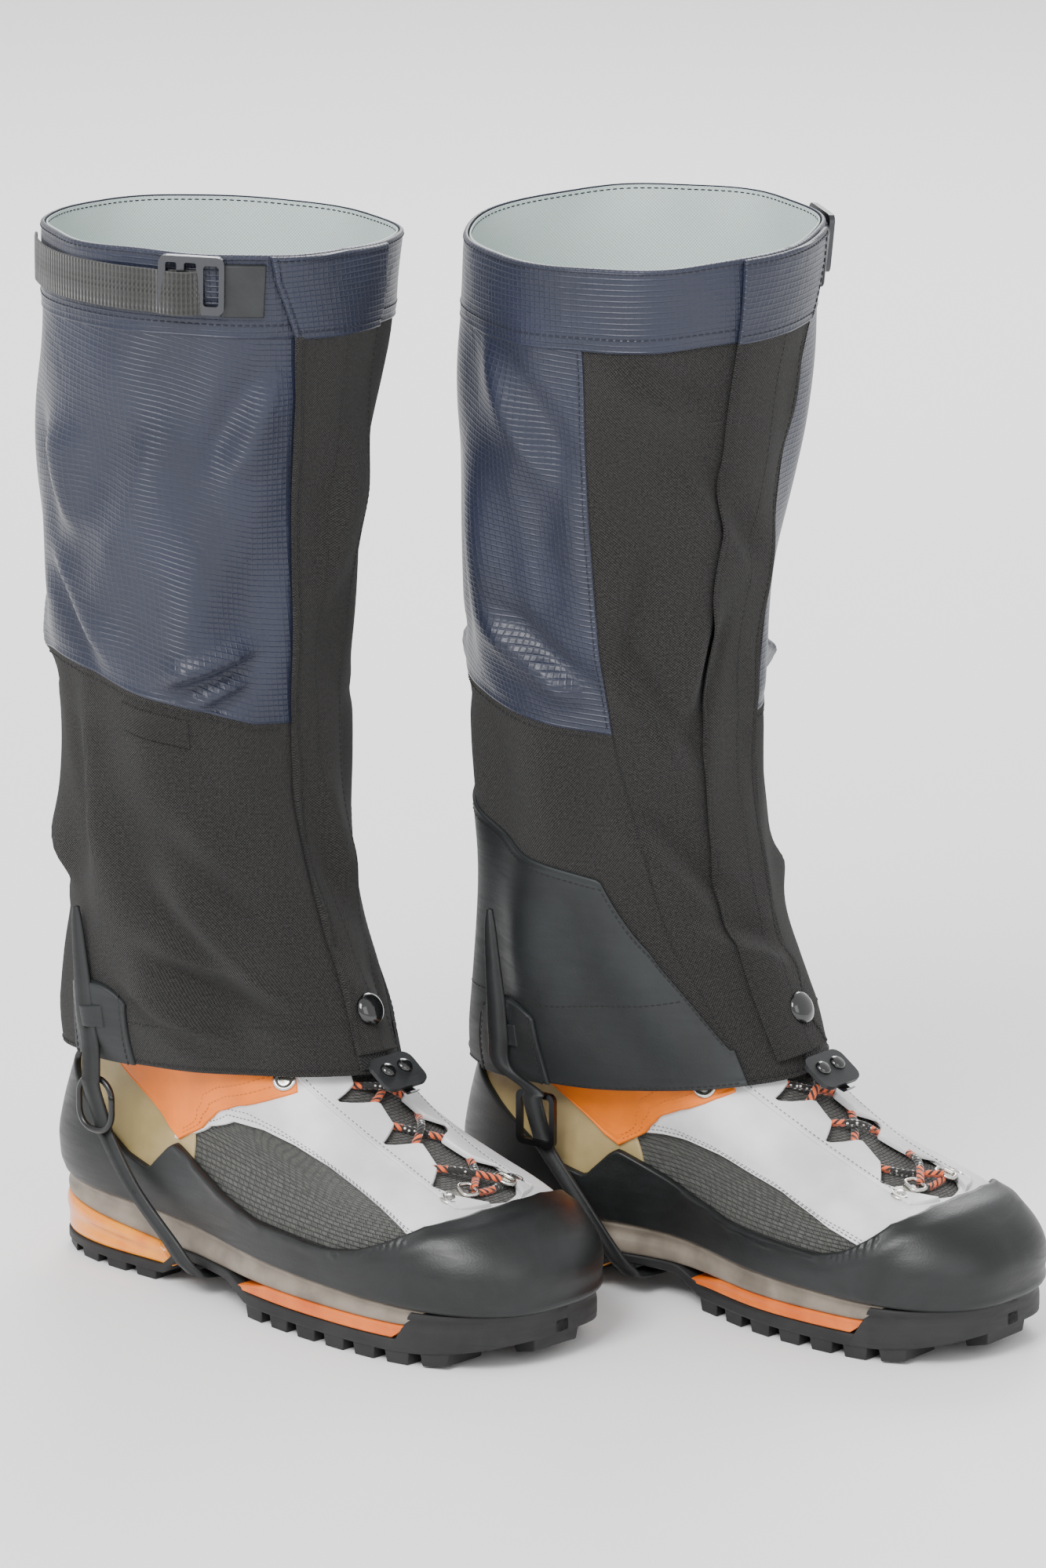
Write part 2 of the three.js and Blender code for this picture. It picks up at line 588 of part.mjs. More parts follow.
function gaiterPatches() {
  const seam = seamLevel(90);
  const kick = panel(gaiterPoint, {
    from: KICK_PATCH.from, to: KICK_PATCH.to, low: 0.06,
    high: (angle) => knots([[36, 0.9], [52, 2.9], [66, 3.7], [100, 3.95], [148, 4.4]], angle),
    inner: LAYER_GAP, outer: LAYER_GAP + RUBBER_PATCH, columns: 14, rows: 4,
  });
  const outerAnchor = panel(gaiterPoint, {
    ...ANCHOR_OUT, low: 0.04, high: 1.9, inner: LAYER_GAP, outer: LAYER_GAP + RUBBER_PATCH, columns: 4, rows: 3,
  });
  const innerAnchor = panel(gaiterPoint, {
    ...ANCHOR_IN, low: 0.04, high: 1.9, inner: RUBBER_PATCH + 2 * LAYER_GAP,
    outer: 2 * (RUBBER_PATCH + LAYER_GAP), columns: 4, rows: 3,
  });
  const buckleTab = panel(gaiterPoint, {
    from: -44, to: -31.5, low: gaiterLevel(-38, STRAP_HEIGHT - 9), high: gaiterLevel(-38, STRAP_HEIGHT + 14),
    inner: LAYER_GAP, outer: LAYER_GAP + 2, columns: 3, rows: 1,
  });
  const hookStrip = slantedPanel(gaiterPoint, {
    levels: [2.5, 3, 4, seam, 6, 7, 8, 9, 9.6],
    left: (t) => flapEdge(t) + 3, right: (t) => flapEdge(t) + 15, inner: LAYER_GAP, outer: 1.9, columns: 2,
  });
  return [
    piece('kick_patch', kick, 0x2f3335, 0.6),
    piece('anchor_patch_outer', outerAnchor, 0x2f3335, 0.6),
    piece('anchor_patch_inner', innerAnchor, 0x2f3335, 0.6),
    piece('buckle_tab', buckleTab, 0x26292b, 0.5),
    piece('hook_strip', hookStrip, 0x1c1c1c, 0.95),
  ];
}

function frontFlap() {
  const bottom = gaiterLevel(-1, 122);
  const flap = slantedPanel(gaiterPoint, {
    levels: [bottom, 1, 2, 3, 4, seamLevel(90), 6, 7, 8, 9, 9.6, RIM],
    left: flapEdge, right: () => FLAP_SEAM, inner: FLAP_CLEARANCE, outer: FLAP_CLEARANCE + CLOTH, columns: 6,
  });
  const cap = seat(dome(SNAP_RADIUS, 3.4), gaiterPoint, -1, gaiterLevel(-1, 140), FLAP_CLEARANCE + CLOTH + 0.8);
  return [
    piece('front_flap', flap, 0x2e2c2b, 0.9),
    piece('snap_cap', cap, 0x151515, 0.25),
  ];
}

const PLATE_WIDTH = 27;
const PLATE_HEIGHT = 19;
const PLATE_THICKNESS = 2;
const PLATE_SLOPE = 54;          // degrees from upright, along the instep

// The rubber tab below the flap with the metal hook that catches the lace.
function laceTab() {
  const top = off(gaiterPoint, 0, gaiterLevel(0, 119), FLAP_CLEARANCE + 1.6);
  const tilt = new THREE.Matrix4().makeRotationX(Math.PI / 2 - rad(PLATE_SLOPE));
  const setting = new THREE.Matrix4().setPosition(top).multiply(tilt);
  const tab = plate(roundedShape(PLATE_WIDTH, PLATE_HEIGHT, 5), PLATE_THICKNESS).translate(0, -PLATE_HEIGHT / 2, 0);
  const across = new THREE.Vector3(-1, 0, 0);
  const bend = [[-4, -1.5, 0, -1], [-12, -1.5, 0, -1], [-17.5, -1.9, -0.3, -1], [-21, -1.2, -1, -0.5], [-22, 0.8, -1, 0.4]];
  const hook = strapAlong(bend.map(([y, z, outY, outZ]) => ({
    centre: new THREE.Vector3(0, y, z + 1.2), across, width: 6, outward: new THREE.Vector3(0, outY, outZ),
  })), 1);
  const set = (geometry) => geometry.applyMatrix4(setting);
  return [
    piece('lace_hook_tab', set(tab), 0x26282a, 0.6),
    piece('lace_hook', set(hook), 0x2a2a2c, 0.3, 0.8),
  ];
}

const STRAP_FROM = -140;
const STRAP_OFFSET = 1.2;
const BUCKLE_ANGLE = -54.5;
const BUCKLE_REACH = 15.76;       // from the middle of the buckle back to the end of the strap

// The angle that lies a given distance round the gaiter from another, towards the back.
function angleBehind(angle, t, distance) {
  const start = gaiterPoint(angle, t);
  let back = angle;
  while (gaiterPoint(back, t).distanceTo(start) < distance) back -= 0.05;
  return back;
}

function topStrap() {
  const steps = 10;
  const level = gaiterLevel(BUCKLE_ANGLE, STRAP_HEIGHT + RIM_SLANT);
  const strapTo = angleBehind(BUCKLE_ANGLE, level, BUCKLE_REACH);
  const strap = loft(Array.from({ length: steps + 1 }, (_, i) => {
    const angle = mix(STRAP_FROM, strapTo, i / steps);
    const t = gaiterLevel(angle, STRAP_HEIGHT + RIM_SLANT);
    const inner = off(gaiterPoint, angle, t, STRAP_OFFSET);
    const outer = off(gaiterPoint, angle, t, STRAP_OFFSET + WEBBING);
    const half = new THREE.Vector3(0, 0, WEBBING_WIDTH / 2);
    return [inner.clone().sub(half), inner.clone().add(half), outer.clone().add(half), outer.clone().sub(half)];
  }));
  const frame = roundedShape(30, WEBBING_WIDTH + 7, 3.5);
  frame.holes.push(roundedShapeAt(-9.2, 0, 5, WEBBING_WIDTH + 1, 1), roundedShapeAt(-0.5, 0, 5.5, WEBBING_WIDTH + 1, 1));
  frame.holes.push(roundedShapeAt(9, 0, 7, WEBBING_WIDTH - 1, 1.5));
  const buckle = seat(plate(frame, 2.6), gaiterPoint, BUCKLE_ANGLE, level, STRAP_OFFSET + 1.9);
  return [
    piece('top_strap', strap, 0x3a3a35, 0.85),
    piece('top_buckle', buckle, 0x3c3d40, 0.3, 0.9),
  ];
}

function roundedShapeAt(x, y, width, height, radius) {
  const points = roundedShape(width, height, radius).getPoints(2);
  return new THREE.Path(points.map((p) => new THREE.Vector2(p.x + x, p.y + y)));
}

// The strap under the arch: each end goes out through its ring and up over the anchor patch.
const RING_OUT = { f: 57, m: -53, z: 84 };
const RING_IN = { f: 70, m: 53.5, z: 82 };
const RING_THICKNESS = 2.4;
const RING_HEIGHT = 26;
const RING_WIDTH = FOOT_STRAP_WIDTH + 11;
const RING_WALL = 2.8;
const TAIL_OUT = { angle: -112, top: 3.1, lift: RUBBER_PATCH + 2.6 * LAYER_GAP };
const TAIL_IN = { angle: 115, top: 3.3, lift: 2 * RUBBER_PATCH + 4 * LAYER_GAP };

// One end of the strap from its tip down to the ground side of its ring.
function strapEnd({ f, m, z }, { angle, top, lift }) {
  const side = Math.sign(m);
  const across = new THREE.Vector3(0, -1, 0);
  const tip = [0, 0.25, 0.5, 0.75, 1].map((share) => {
    const t = mix(top, 0.55, share);
    const centre = off(gaiterPoint, angle, t, lift);
    const width = FOOT_STRAP_WIDTH * mix(0.45, 1, smooth(share, 0, 0.3));
    return { centre, across, width, outward: new THREE.Vector3(side, 0, 0) };
  });
  const bar = RING_HEIGHT / 2 - RING_WALL;
  const outside = side * (Math.abs(m) + RING_THICKNESS / 2 + GAP);
  const inside = side * (Math.abs(m) - RING_THICKNESS / 2 - GAP - FOOT_STRAP);
  const route = [
    [f, outside, z + RING_HEIGHT / 2 + 1, 0.1], [f, outside, z + bar - 1, 0],
    [f + 1, inside, z - bar + 2, -0.1], [f + 4, inside, z - RING_HEIGHT / 2 - 2, 0],
  ];
  return [...tip, ...route.map(([at, mm, height, lean]) => ({
    centre: place(at, mm, height), across, width: FOOT_STRAP_WIDTH, outward: new THREE.Vector3(side, 0, lean),
  }))];
}

function footStrap() {
  const under = ARCH_HEIGHT - FOOT_STRAP - 1.6;
  const station = (f, m, z, outward) => ({
    centre: place(f, m, z), across: new THREE.Vector3(0, -1, 0), width: FOOT_STRAP_WIDTH,
    outward: new THREE.Vector3(...outward),
  });
  return strapAlong([
    ...strapEnd(RING_OUT, TAIL_OUT),
    station(RING_OUT.f + 20, -49, 48, [-1, 0, -0.1]),
    station(FOOT_STRAP_PLACE - 12, -47.5, 27, [-1, 0, -0.3]),
    station(FOOT_STRAP_PLACE - 2, -45.5, under + 5, [-0.7, 0, -1]),
    station(FOOT_STRAP_PLACE, -33, under, [0, 0, -1]),
    station(FOOT_STRAP_PLACE, 27, under, [0, 0, -1]),
    station(FOOT_STRAP_PLACE - 2, 38, under + 5, [0.7, 0, -1]),
    station(FOOT_STRAP_PLACE - 8, 43.5, 27, [1, 0, -0.3]),
    station(RING_IN.f + 20, 48, 48, [1, 0, -0.1]),
    ...strapEnd(RING_IN, TAIL_IN).reverse(),
  ], FOOT_STRAP);
}

// A ring that stands upright beside the ankle with its opening facing outwards.
function strapRing({ f, m, z }, corner) {
  const outline = roundedShape(RING_WIDTH, RING_HEIGHT, corner);
  outline.holes.push(roundedShape(RING_WIDTH - 2 * RING_WALL, RING_HEIGHT - 2 * RING_WALL, corner - RING_WALL * 0.7));
  return plate(outline, RING_THICKNESS).translate(0, 0, -RING_THICKNESS / 2)
    .rotateX(Math.PI / 2).rotateZ(Math.PI / 2).translate(m, -f * SCALE, z);
}

// ---------------------------------------------------------------- the pair
function boot() {
  return [
    ...soleParts(),
    ...upperParts(),
    piece('lace', lace(), 0x2b2624, 0.9),
    ...gaiterPanels(),
    ...gaiterPatches(),
    ...frontFlap(),
    ...laceTab(),
    ...topStrap(),
    piece('foot_strap', footStrap(), 0x1f2122, 0.6),
    piece('strap_ring_outer', strapRing(RING_OUT, 9), 0x1b1c1d, 0.4, 0.6),
    piece('strap_ring_inner', strapRing(RING_IN, 3.5), 0x4a4b4e, 0.35, 0.9),
  ];
}

const pair = new THREE.Group();
for (const [side, sign] of [['right', 1], ['left', -1]]) {
  const one = new THREE.Group();
  for (const mesh of boot()) {
    mesh.name = `${side}_${mesh.name}`;
    one.add(mesh);
  }
  one.scale.x = sign;
  one.rotation.z = rad(-sign * TOE_OUT);
  one.position.set(-sign * PAIR_SPACING / 2, sign * LEFT_LEAD / 2, 0);
  pair.add(one);
}

// The origin stands under the middle of the pair's box.
pair.updateMatrixWorld(true);
const middle = new THREE.Box3().setFromObject(pair, true).getCenter(new THREE.Vector3());
for (const one of pair.children) {
  one.position.x -= middle.x;
  one.position.y -= middle.y;
}

export default pair;
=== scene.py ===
import math

import bpy
import numpy as np
from bpy.props import FloatProperty, FloatVectorProperty, PointerProperty
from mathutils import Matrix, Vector

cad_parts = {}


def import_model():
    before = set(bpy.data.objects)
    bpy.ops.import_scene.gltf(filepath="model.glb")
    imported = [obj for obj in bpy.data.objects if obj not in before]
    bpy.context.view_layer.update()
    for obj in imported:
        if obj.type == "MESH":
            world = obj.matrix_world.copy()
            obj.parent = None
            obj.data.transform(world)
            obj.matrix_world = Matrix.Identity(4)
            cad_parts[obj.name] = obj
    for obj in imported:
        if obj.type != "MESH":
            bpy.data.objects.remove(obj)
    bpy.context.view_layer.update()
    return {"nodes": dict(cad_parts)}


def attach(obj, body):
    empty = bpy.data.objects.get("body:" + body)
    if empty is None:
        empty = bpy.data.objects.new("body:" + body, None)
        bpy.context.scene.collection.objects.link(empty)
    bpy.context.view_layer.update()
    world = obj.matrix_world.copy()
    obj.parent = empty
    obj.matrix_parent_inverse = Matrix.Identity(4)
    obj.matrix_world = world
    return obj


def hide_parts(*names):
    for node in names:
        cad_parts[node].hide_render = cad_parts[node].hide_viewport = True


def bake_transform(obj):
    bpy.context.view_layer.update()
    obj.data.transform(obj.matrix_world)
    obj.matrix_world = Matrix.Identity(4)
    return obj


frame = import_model()

bl_info = {
    "name": "Mountaineering boots with gaiters",
    "version": (1, 0, 0),
    "blender": (4, 5, 0),
    "location": "View3D > Sidebar > Boots",
    "description": "Builds the looks of a pair of mountaineering boots worn under knee gaiters",
    "category": "Object",
}

# A boot's own axes: x towards the inner side of the foot, -y forward, z up, in millimetres.
# The left boot is the mirror image of the right one.
SIDES = {
    "right": {"origin": (-56.5, 223.932), "turn": -2.6, "mirror": 1},
    "left": {"origin": (56.5, 75.932), "turn": 2.6, "mirror": -1},
}

# Rings of the upper from the midsole to the collar: z back, z front, y back, y front,
# half width outside, inside, widest place outside, inside, power, waist.
UPPER_ROWS = np.array([
    [39, 26, 3, 297, 55.5, 49.5, 210, 230, 2.6, 1.0],
    [54, 41, 0, 300, 57.5, 51.0, 208, 228, 2.6, 0.95],
    [68, 53, 1, 294, 55.0, 49.0, 203, 220, 2.5, 0.85],
    [80, 62, 3, 280, 50.0, 46.0, 195, 208, 2.4, 0.65],
    [90, 70, 5, 255, 45.5, 43.0, 182, 192, 2.3, 0.45],
    [101, 80, 7, 228, 42.0, 40.5, 158, 165, 2.25, 0.25],
    [114, 95, 9, 200, 40.0, 38.5, 128, 132, 2.2, 0.1],
    [130, 112, 11, 177, 39.5, 37.5, 106, 106, 2.1, 0],
    [148, 134, 13, 161, 40.0, 38.5, 92, 92, 2.05, 0],
    [170, 160, 15, 152, 42.0, 41.0, 85, 85, 2.0, 0],
])
# Rings of the gaiter from the hem to the rim: z back, z front, y back, y front, half widths.
GAITER_ROWS = np.array([
    [98, 114, -2, 189, 52.0, 50.0],
    [114, 133, 0, 180, 55.0, 53.0],
    [138, 156, 5, 169, 58.0, 56.0],
    [170, 180, 10, 157, 61.0, 60.0],
    [215, 219, 13, 147, 63.0, 62.0],
    [265, 265, 11, 143, 65.0, 64.0],
    [310, 310, 7, 145, 68.5, 67.5],
    [360, 360, 5, 151, 72.5, 71.5],
    [410, 410, 5.5, 158, 75.5, 75.0],
    [456, 456, 8, 166, 78.0, 77.5],
    [494, 494, 10, 170, 80.0, 79.5],
])
COLLAR = len(UPPER_ROWS) - 1.0
RIM = len(GAITER_ROWS) - 1.0
SEAM = 5.3
HEM = 9.0
MM = 0.001


# ---------------------------------------------------------------- surfaces
def read(knots, x):
    """A value read off [x, y] knots."""
    table = np.array(knots, float)
    return np.interp(x, table[:, 0], table[:, 1])


def bell(x, middle, spread):
    """A smooth bump of height one."""
    return np.exp(-(((x - middle) / spread) ** 2))


def rows_at(rows, t):
    """The row of a table at a ring number, smooth between the rings."""
    last = len(rows) - 1
    i = np.clip(np.floor(t).astype(int), 0, last - 1)
    s = (t - i)[..., None]

    def row(k):
        return rows[np.clip(k, 0, last)]

    start, end = row(i), row(i + 1)
    leave, arrive = (end - row(i - 1)) / 2, (row(i + 2) - start) / 2
    return (start * (2 * s**3 - 3 * s**2 + 1) + leave * (s**3 - 2 * s**2 + s)
            + end * (3 * s**2 - 2 * s**3) + arrive * (s**3 - s**2))


def ring(angle, back, front, wide_out, wide_in, out, inn, power):
    """A point round one ring: how far forward and how far aside."""
    c, s = np.cos(np.radians(angle)), np.sin(np.radians(angle))
    reach = np.sign(c) * np.abs(c) ** (2 / power)
    side = np.sign(s) * np.abs(s) ** (2 / power)
    wide = np.where(s >= 0, wide_in, wide_out)
    f = wide + np.where(c >= 0, front - wide, wide - back) * reach
    return f, np.where(s >= 0, inn, out) * side


def waist_at(f, m):
    """How far the sole and upper draw in at the waist of the foot."""
    draw = np.where(m >= 0, 18 * bell(f, 132, 48), 14 * bell(f, 98, 58))
    return np.sign(m) * draw * np.clip(np.abs(m) / 20, 0, 1)


def upper(angle, t):
    """A point of the boot's upper: the angle runs from the toe (0) by the inner side (90)."""
    row = np.moveaxis(rows_at(UPPER_ROWS, t), -1, 0)
    f, m = ring(angle, row[2], row[3], row[6], row[7], row[4], row[5], row[8])
    z = row[0] + (row[1] - row[0]) * (f - row[2]) / (row[3] - row[2])
    return np.stack([m - row[9] * waist_at(f, m), -f, z], -1)


def gaiter(angle, t):
    """A point of the gaiter, with the same angles."""
    row = np.moveaxis(rows_at(GAITER_ROWS, t), -1, 0)
    middle = (row[2] + row[3]) / 2
    f, m = ring(angle, row[2], row[3], middle, middle, row[4], row[5], 2.05)
    rise = np.maximum(0, (f - row[2]) / (row[3] - row[2])) ** 1.3
    z = row[0] + (row[1] - row[0]) * rise - 4 * np.sin(np.radians(angle))
    return np.stack([m, -f, z], -1)


TOP = {upper: COLLAR, gaiter: RIM}
DRAPE = {}
MATERIALS = {}


def off(surface, angle, t, distance, side=None):
    """A point at a distance outside a surface. With a side, the cloth's folds are added."""
    angle, t = np.broadcast_arrays(np.asarray(angle, float), np.asarray(t, float))
    around = surface(angle + 0.5, t) - surface(angle - 0.5, t)
    up = surface(angle, np.minimum(TOP[surface], t + 0.02)) - surface(angle, np.maximum(0, t - 0.02))
    normal = np.cross(around, up)
    normal /= np.linalg.norm(normal, axis=-1, keepdims=True)
    lift = np.broadcast_to(np.asarray(distance, float), angle.shape)
    if surface is gaiter and side:
        lift = lift + fold(side, angle, t)
    return surface(angle, t) + normal * lift[..., None]


def fold(side, angle, t):
    """How far the gaiter's cloth lies off its smooth surface."""
    field = DRAPE[side]
    columns, rows = field.shape
    x = (angle % 360) / 360 * (columns - 1)
    y = np.clip(t / RIM, 0, 1) * (rows - 1)
    i, j = np.minimum(x.astype(int), columns - 2), np.minimum(y.astype(int), rows - 2)
    a, b = x - i, y - j
    return ((field[i, j] * (1 - a) + field[i + 1, j] * a) * (1 - b)
            + (field[i, j + 1] * (1 - a) + field[i + 1, j + 1] * a) * b)


def gaiter_level(angle, z):
    """The ring number of the gaiter at a height."""
    t = np.linspace(0, RIM, 400)
    heights = gaiter(np.full_like(t, angle), t)[:, 2]
    return float(np.interp(z, heights, t))


def world(side, points):
    place = SIDES[side]
    turn = math.radians(place["turn"])
    x, y = points[..., 0] * place["mirror"], points[..., 1]
    return np.stack([
        place["origin"][0] + x * math.cos(turn) - y * math.sin(turn),
        place["origin"][1] + x * math.sin(turn) + y * math.cos(turn),
        points[..., 2],
    ], -1) * MM


# ---------------------------------------------------------------- meshes
def add_mesh(name, side, points, faces, material, body, uv=None, smooth=True):
    """Makes an object of points in a boot's own axes, riding on a body."""
    if SIDES[side]["mirror"] < 0:
        faces = [face[::-1] for face in faces]
    mesh = bpy.data.meshes.new(name)
    mesh.from_pydata(world(side, np.asarray(points, float)).tolist(), [], faces)
    if uv is not None:
        layer = mesh.uv_layers.new(name="UVMap")
        corners = np.zeros(len(mesh.loops), np.int32)
        mesh.loops.foreach_get("vertex_index", corners)
        layer.data.foreach_set("uv", np.asarray(uv, np.float32)[corners].ravel())
    mesh.polygons.foreach_set("use_smooth", np.full(len(mesh.polygons), smooth))
    mesh.materials.append(material)
    made = bpy.data.objects.new(name, mesh)
    bpy.context.scene.collection.objects.link(made)
    if body:
        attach(made, body)
    return made


def grid_faces(columns, rows, start=0, closed=False, flip=False):
    faces = []
    for i in range(columns if closed else columns - 1):
        a, b = start + i * rows, start + ((i + 1) % columns) * rows
        for j in range(rows - 1):
            face = [a + j, b + j, b + j + 1, a + j + 1]
            faces.append(face[::-1] if flip else face)
    return faces


def shares(length, roll, step):
    """Places along a length, close together near both ends, as shares of it."""
    near = np.array([0, 0.1, 0.35, 0.7, 1.1, 1.7, 2.3, 2.9, 3.5, 4.3]) * roll
    near = near[near < length * 0.45]
    count = max(2, int((length - 2 * near[-1]) / step) + 1)
    middle = np.linspace(near[-1], length - near[-1], count)[1:-1]
    return np.concatenate([near, middle, length - near[::-1]]) / length


def panel(name, side, surface, spread, inner, outer, material, body, roll=1.0, step=4.0,
          stitched=(), closed=False, relief=None, seams=(2.8,), up_step=None):
    """A sheet of leather, rubber or cloth on a surface, with rolled edges and sunk seams.

    spread(u, v) gives the angle and ring number at shares u and v of its width and height.
    stitched names the edges with a seam: left, right, low or high. relief(angle, t, point) adds height.
    """
    probe_u, probe_v = np.meshgrid(np.linspace(0, 1, 25), np.linspace(0, 1, 17), indexing="ij")
    probe = surface(*spread(probe_u, probe_v))
    wide = np.linalg.norm(np.diff(probe, axis=0), axis=-1).sum(0).mean()
    tall = np.linalg.norm(np.diff(probe, axis=1), axis=-1).sum(1).mean()
    us = np.linspace(0, 1, int(wide / step) + 1)[:-1] if closed else shares(wide, roll, step)
    vs = shares(tall, roll, up_step or step)
    u, v = np.meshgrid(us, vs, indexing="ij")
    angle, t = spread(u, v)
    base = surface(angle, t)

    def lengths(axis):
        steps = np.linalg.norm(np.diff(base, axis=axis), axis=-1)
        pad = [(1, 0), (0, 0)] if axis == 0 else [(0, 0), (1, 0)]
        return np.cumsum(np.pad(steps, pad), axis=axis)

    across, along = lengths(0), lengths(1)
    edges = {
        "left": across, "right": across[-1:] - across,
        "low": along, "high": along[:, -1:] - along,
    }
    if closed:
        edges["left"] = edges["right"] = np.full_like(across, 1e3)
    nearest = np.minimum.reduce(list(edges.values()))
    share = np.clip(nearest / (roll * 0.8), 0, 1)
    lift = inner + (outer - inner) * (0.12 + 0.88 * np.sqrt(1 - (1 - share) ** 2))
    for edge in stitched:
        for seam in seams:
            lift = lift - 0.28 * min(1, outer - inner) * bell(edges[edge], seam, 0.7)
    if relief:
        lift = lift + relief(angle, t, base) * share
    front = off(surface, angle, t, lift, side)
    back = off(surface, angle, t, inner, side)
    columns, rows = front.shape[:2]
    uv = np.stack([across - across[columns // 2: columns // 2 + 1], along], -1)
    points = np.concatenate([front.reshape(-1, 3), back.reshape(-1, 3)])
    size = columns * rows
    faces = grid_faces(columns, rows, 0, closed) + grid_faces(columns, rows, size, closed, True)
    for i in range(columns if closed else columns - 1):
        a, b = i * rows, ((i + 1) % columns) * rows
        faces.append([size + a, size + b, b, a])
        top = rows - 1
        faces.append([a + top, b + top, size + b + top, size + a + top])
    if not closed:
        last = (columns - 1) * rows
        for j in range(rows - 1):
            faces.append([size + j, j, j + 1, size + j + 1])
            faces.append([last + j, size + last + j, size + last + j + 1, last + j + 1])
    flat = uv.reshape(-1, 2)
    return add_mesh(name, side, points, faces, material, body, np.concatenate([flat, flat]))


def slanted(low, high, left, right):
    """A spread whose side edges follow the height, and whose low and high edges may follow the angle."""
    def spread(u, v):
        t = v * RIM
        for _ in range(4):
            start = read(left, t) if isinstance(left, list) else left + 0 * t
            end = read(right, t) if isinstance(right, list) else right + 0 * t
            angle = start + (end - start) * u
            bottom = low(angle) if callable(low) else low + 0 * angle
            top = high(angle) if callable(high) else high + 0 * angle
            t = bottom + (top - bottom) * v
        return angle, t
    return spread


def frames_along(path, up=None):
    """Two directions square to a path at each of its points."""
    tangent = np.gradient(path, axis=0)
    tangent /= np.linalg.norm(tangent, axis=1, keepdims=True)
    guide = np.array([0, 0, 1.0]) if up is None else up
    side = np.cross(tangent, guide)
    side /= np.maximum(np.linalg.norm(side, axis=1, keepdims=True), 1e-9)
    return tangent, side, np.cross(side, tangent)


def resample(path, step):
    path = np.asarray(path, float)
    length = np.concatenate([[0], np.cumsum(np.linalg.norm(np.diff(path, axis=0), axis=1))])
    count = max(2, int(length[-1] / step) + 1)
    places = np.linspace(0, length[-1], count)
    return np.stack([np.interp(places, length, path[:, k]) for k in range(3)], 1), places


def curve(points, per=10):
    """A smooth line through points."""
    p = np.asarray(points, float)
    padded = np.concatenate([[2 * p[0] - p[1]], p, [2 * p[-1] - p[-2]]])
    out = []
    for i in range(1, len(padded) - 2):
        a, b, c, d = padded[i - 1: i + 3]
        for s in np.arange(per) / per:
            out.append(0.5 * (2 * b + (c - a) * s + (2 * a - 5 * b + 4 * c - d) * s**2
                              + (3 * b - a - 3 * c + d) * s**3))
    return np.array(out + [p[-1]])


def tube(name, side, path, radius, material, body, sides=10, step=1.2, up=None, relief=None):
    path, places = resample(path, step)
    guide = None if up is None else np.broadcast_to(np.asarray(up, float), path.shape)
    _, across, lift = frames_along(path, guide)
    turn = np.linspace(0, 2 * np.pi, sides, endpoint=False)
    size = radius + (relief(places[:, None], turn[None]) if relief else 0 * turn[None])
    rings = (path[:, None] + across[:, None] * (np.cos(turn)[None, :, None] * size[..., None])
             + lift[:, None] * (np.sin(turn)[None, :, None] * size[..., None]))
    points = np.concatenate([rings.reshape(-1, 3), path[:1], path[-1:]])
    faces, count = [], len(path)
    for i in range(count - 1):
        for j in range(sides):
            a, b = i * sides + j, i * sides + (j + 1) % sides
            faces.append([a, b, b + sides, a + sides])
    for j in range(sides):
        faces.append([count * sides, (j + 1) % sides, j])
        end = (count - 1) * sides
        faces.append([count * sides + 1, end + j, end + (j + 1) % sides])
    uv = np.stack(np.broadcast_arrays(places[:, None], turn[None] * radius), -1).reshape(-1, 2)
    uv = np.concatenate([uv, [[0, 0], [places[-1], 0]]])
    return add_mesh(name, side, points, faces, material, body, uv)


def stitches(name, side, lines, material, body, pitch=3.0, length=2.1, radius=0.36):
    """Rows of thread stitches, one mesh: each line is a path of points."""
    points, faces, start = [], [], 0
    profile = [(-0.5, 0.25), (-0.36, 0.85), (0, 1.0), (0.36, 0.85), (0.5, 0.25)]
    turn = np.linspace(0, 2 * np.pi, 6, endpoint=False)
    for line in lines:
        fine, _ = resample(line, pitch)
        if len(fine) < 3:
            continue
        tangent, across, lift = frames_along(fine)
        for k in range(len(fine)):
            rings = [fine[k] + tangent[k] * length * along
                     + np.outer(np.cos(turn), across[k]) * radius * share
                     + np.outer(np.sin(turn), lift[k]) * radius * share
                     for along, share in profile]
            points.append(np.concatenate(rings))
            for r in range(len(profile) - 1):
                for j in range(6):
                    a, b = start + r * 6 + j, start + r * 6 + (j + 1) % 6
                    faces.append([a, b, b + 6, a + 6])
            faces.append([start + j for j in range(5, -1, -1)])
            faces.append([start + 24 + j for j in range(6)])
            start += 6 * len(profile)
    return add_mesh(name, side, np.concatenate(points), faces, material, body)


def basis_on(surface, side, angle, t, distance):
    """Origin, along, up and outward directions of a small fitting on a surface."""
    a, b = np.array([angle], float), np.array([t], float)
    origin = off(surface, a, b, distance, side)[0]
    out = off(surface, a, b, 1.0)[0] - off(surface, a, b, 0.0)[0]
    along = surface(a + 1, b)[0] - surface(a - 1, b)[0]
    along /= np.linalg.norm(along)
    up = np.cross(out, along)
    up /= np.linalg.norm(up)
    return origin, np.cross(up, out), up, out


def turned(name, side, seat, profile, material, body, count=28, squeeze=1.0):
    """A round fitting: a profile of (radius, height) turned about a seat's outward axis."""
    origin, along, up, out = seat
    turn = np.linspace(0, 2 * np.pi, count, endpoint=False)
    points = np.concatenate([
        origin + np.outer(np.cos(turn) * radius, along) + np.outer(np.sin(turn) * radius * squeeze, up)
        + out * height for radius, height in profile])
    faces = []
    for r in range(len(profile) - 1):
        for j in range(count):
            a, b = r * count + j, r * count + (j + 1) % count
            faces.append([a, b, b + count, a + count])
    faces.append(list(range(count))[::-1])
    faces.append([(len(profile) - 1) * count + j for j in range(count)])
    return add_mesh(name, side, points, faces, material, body)


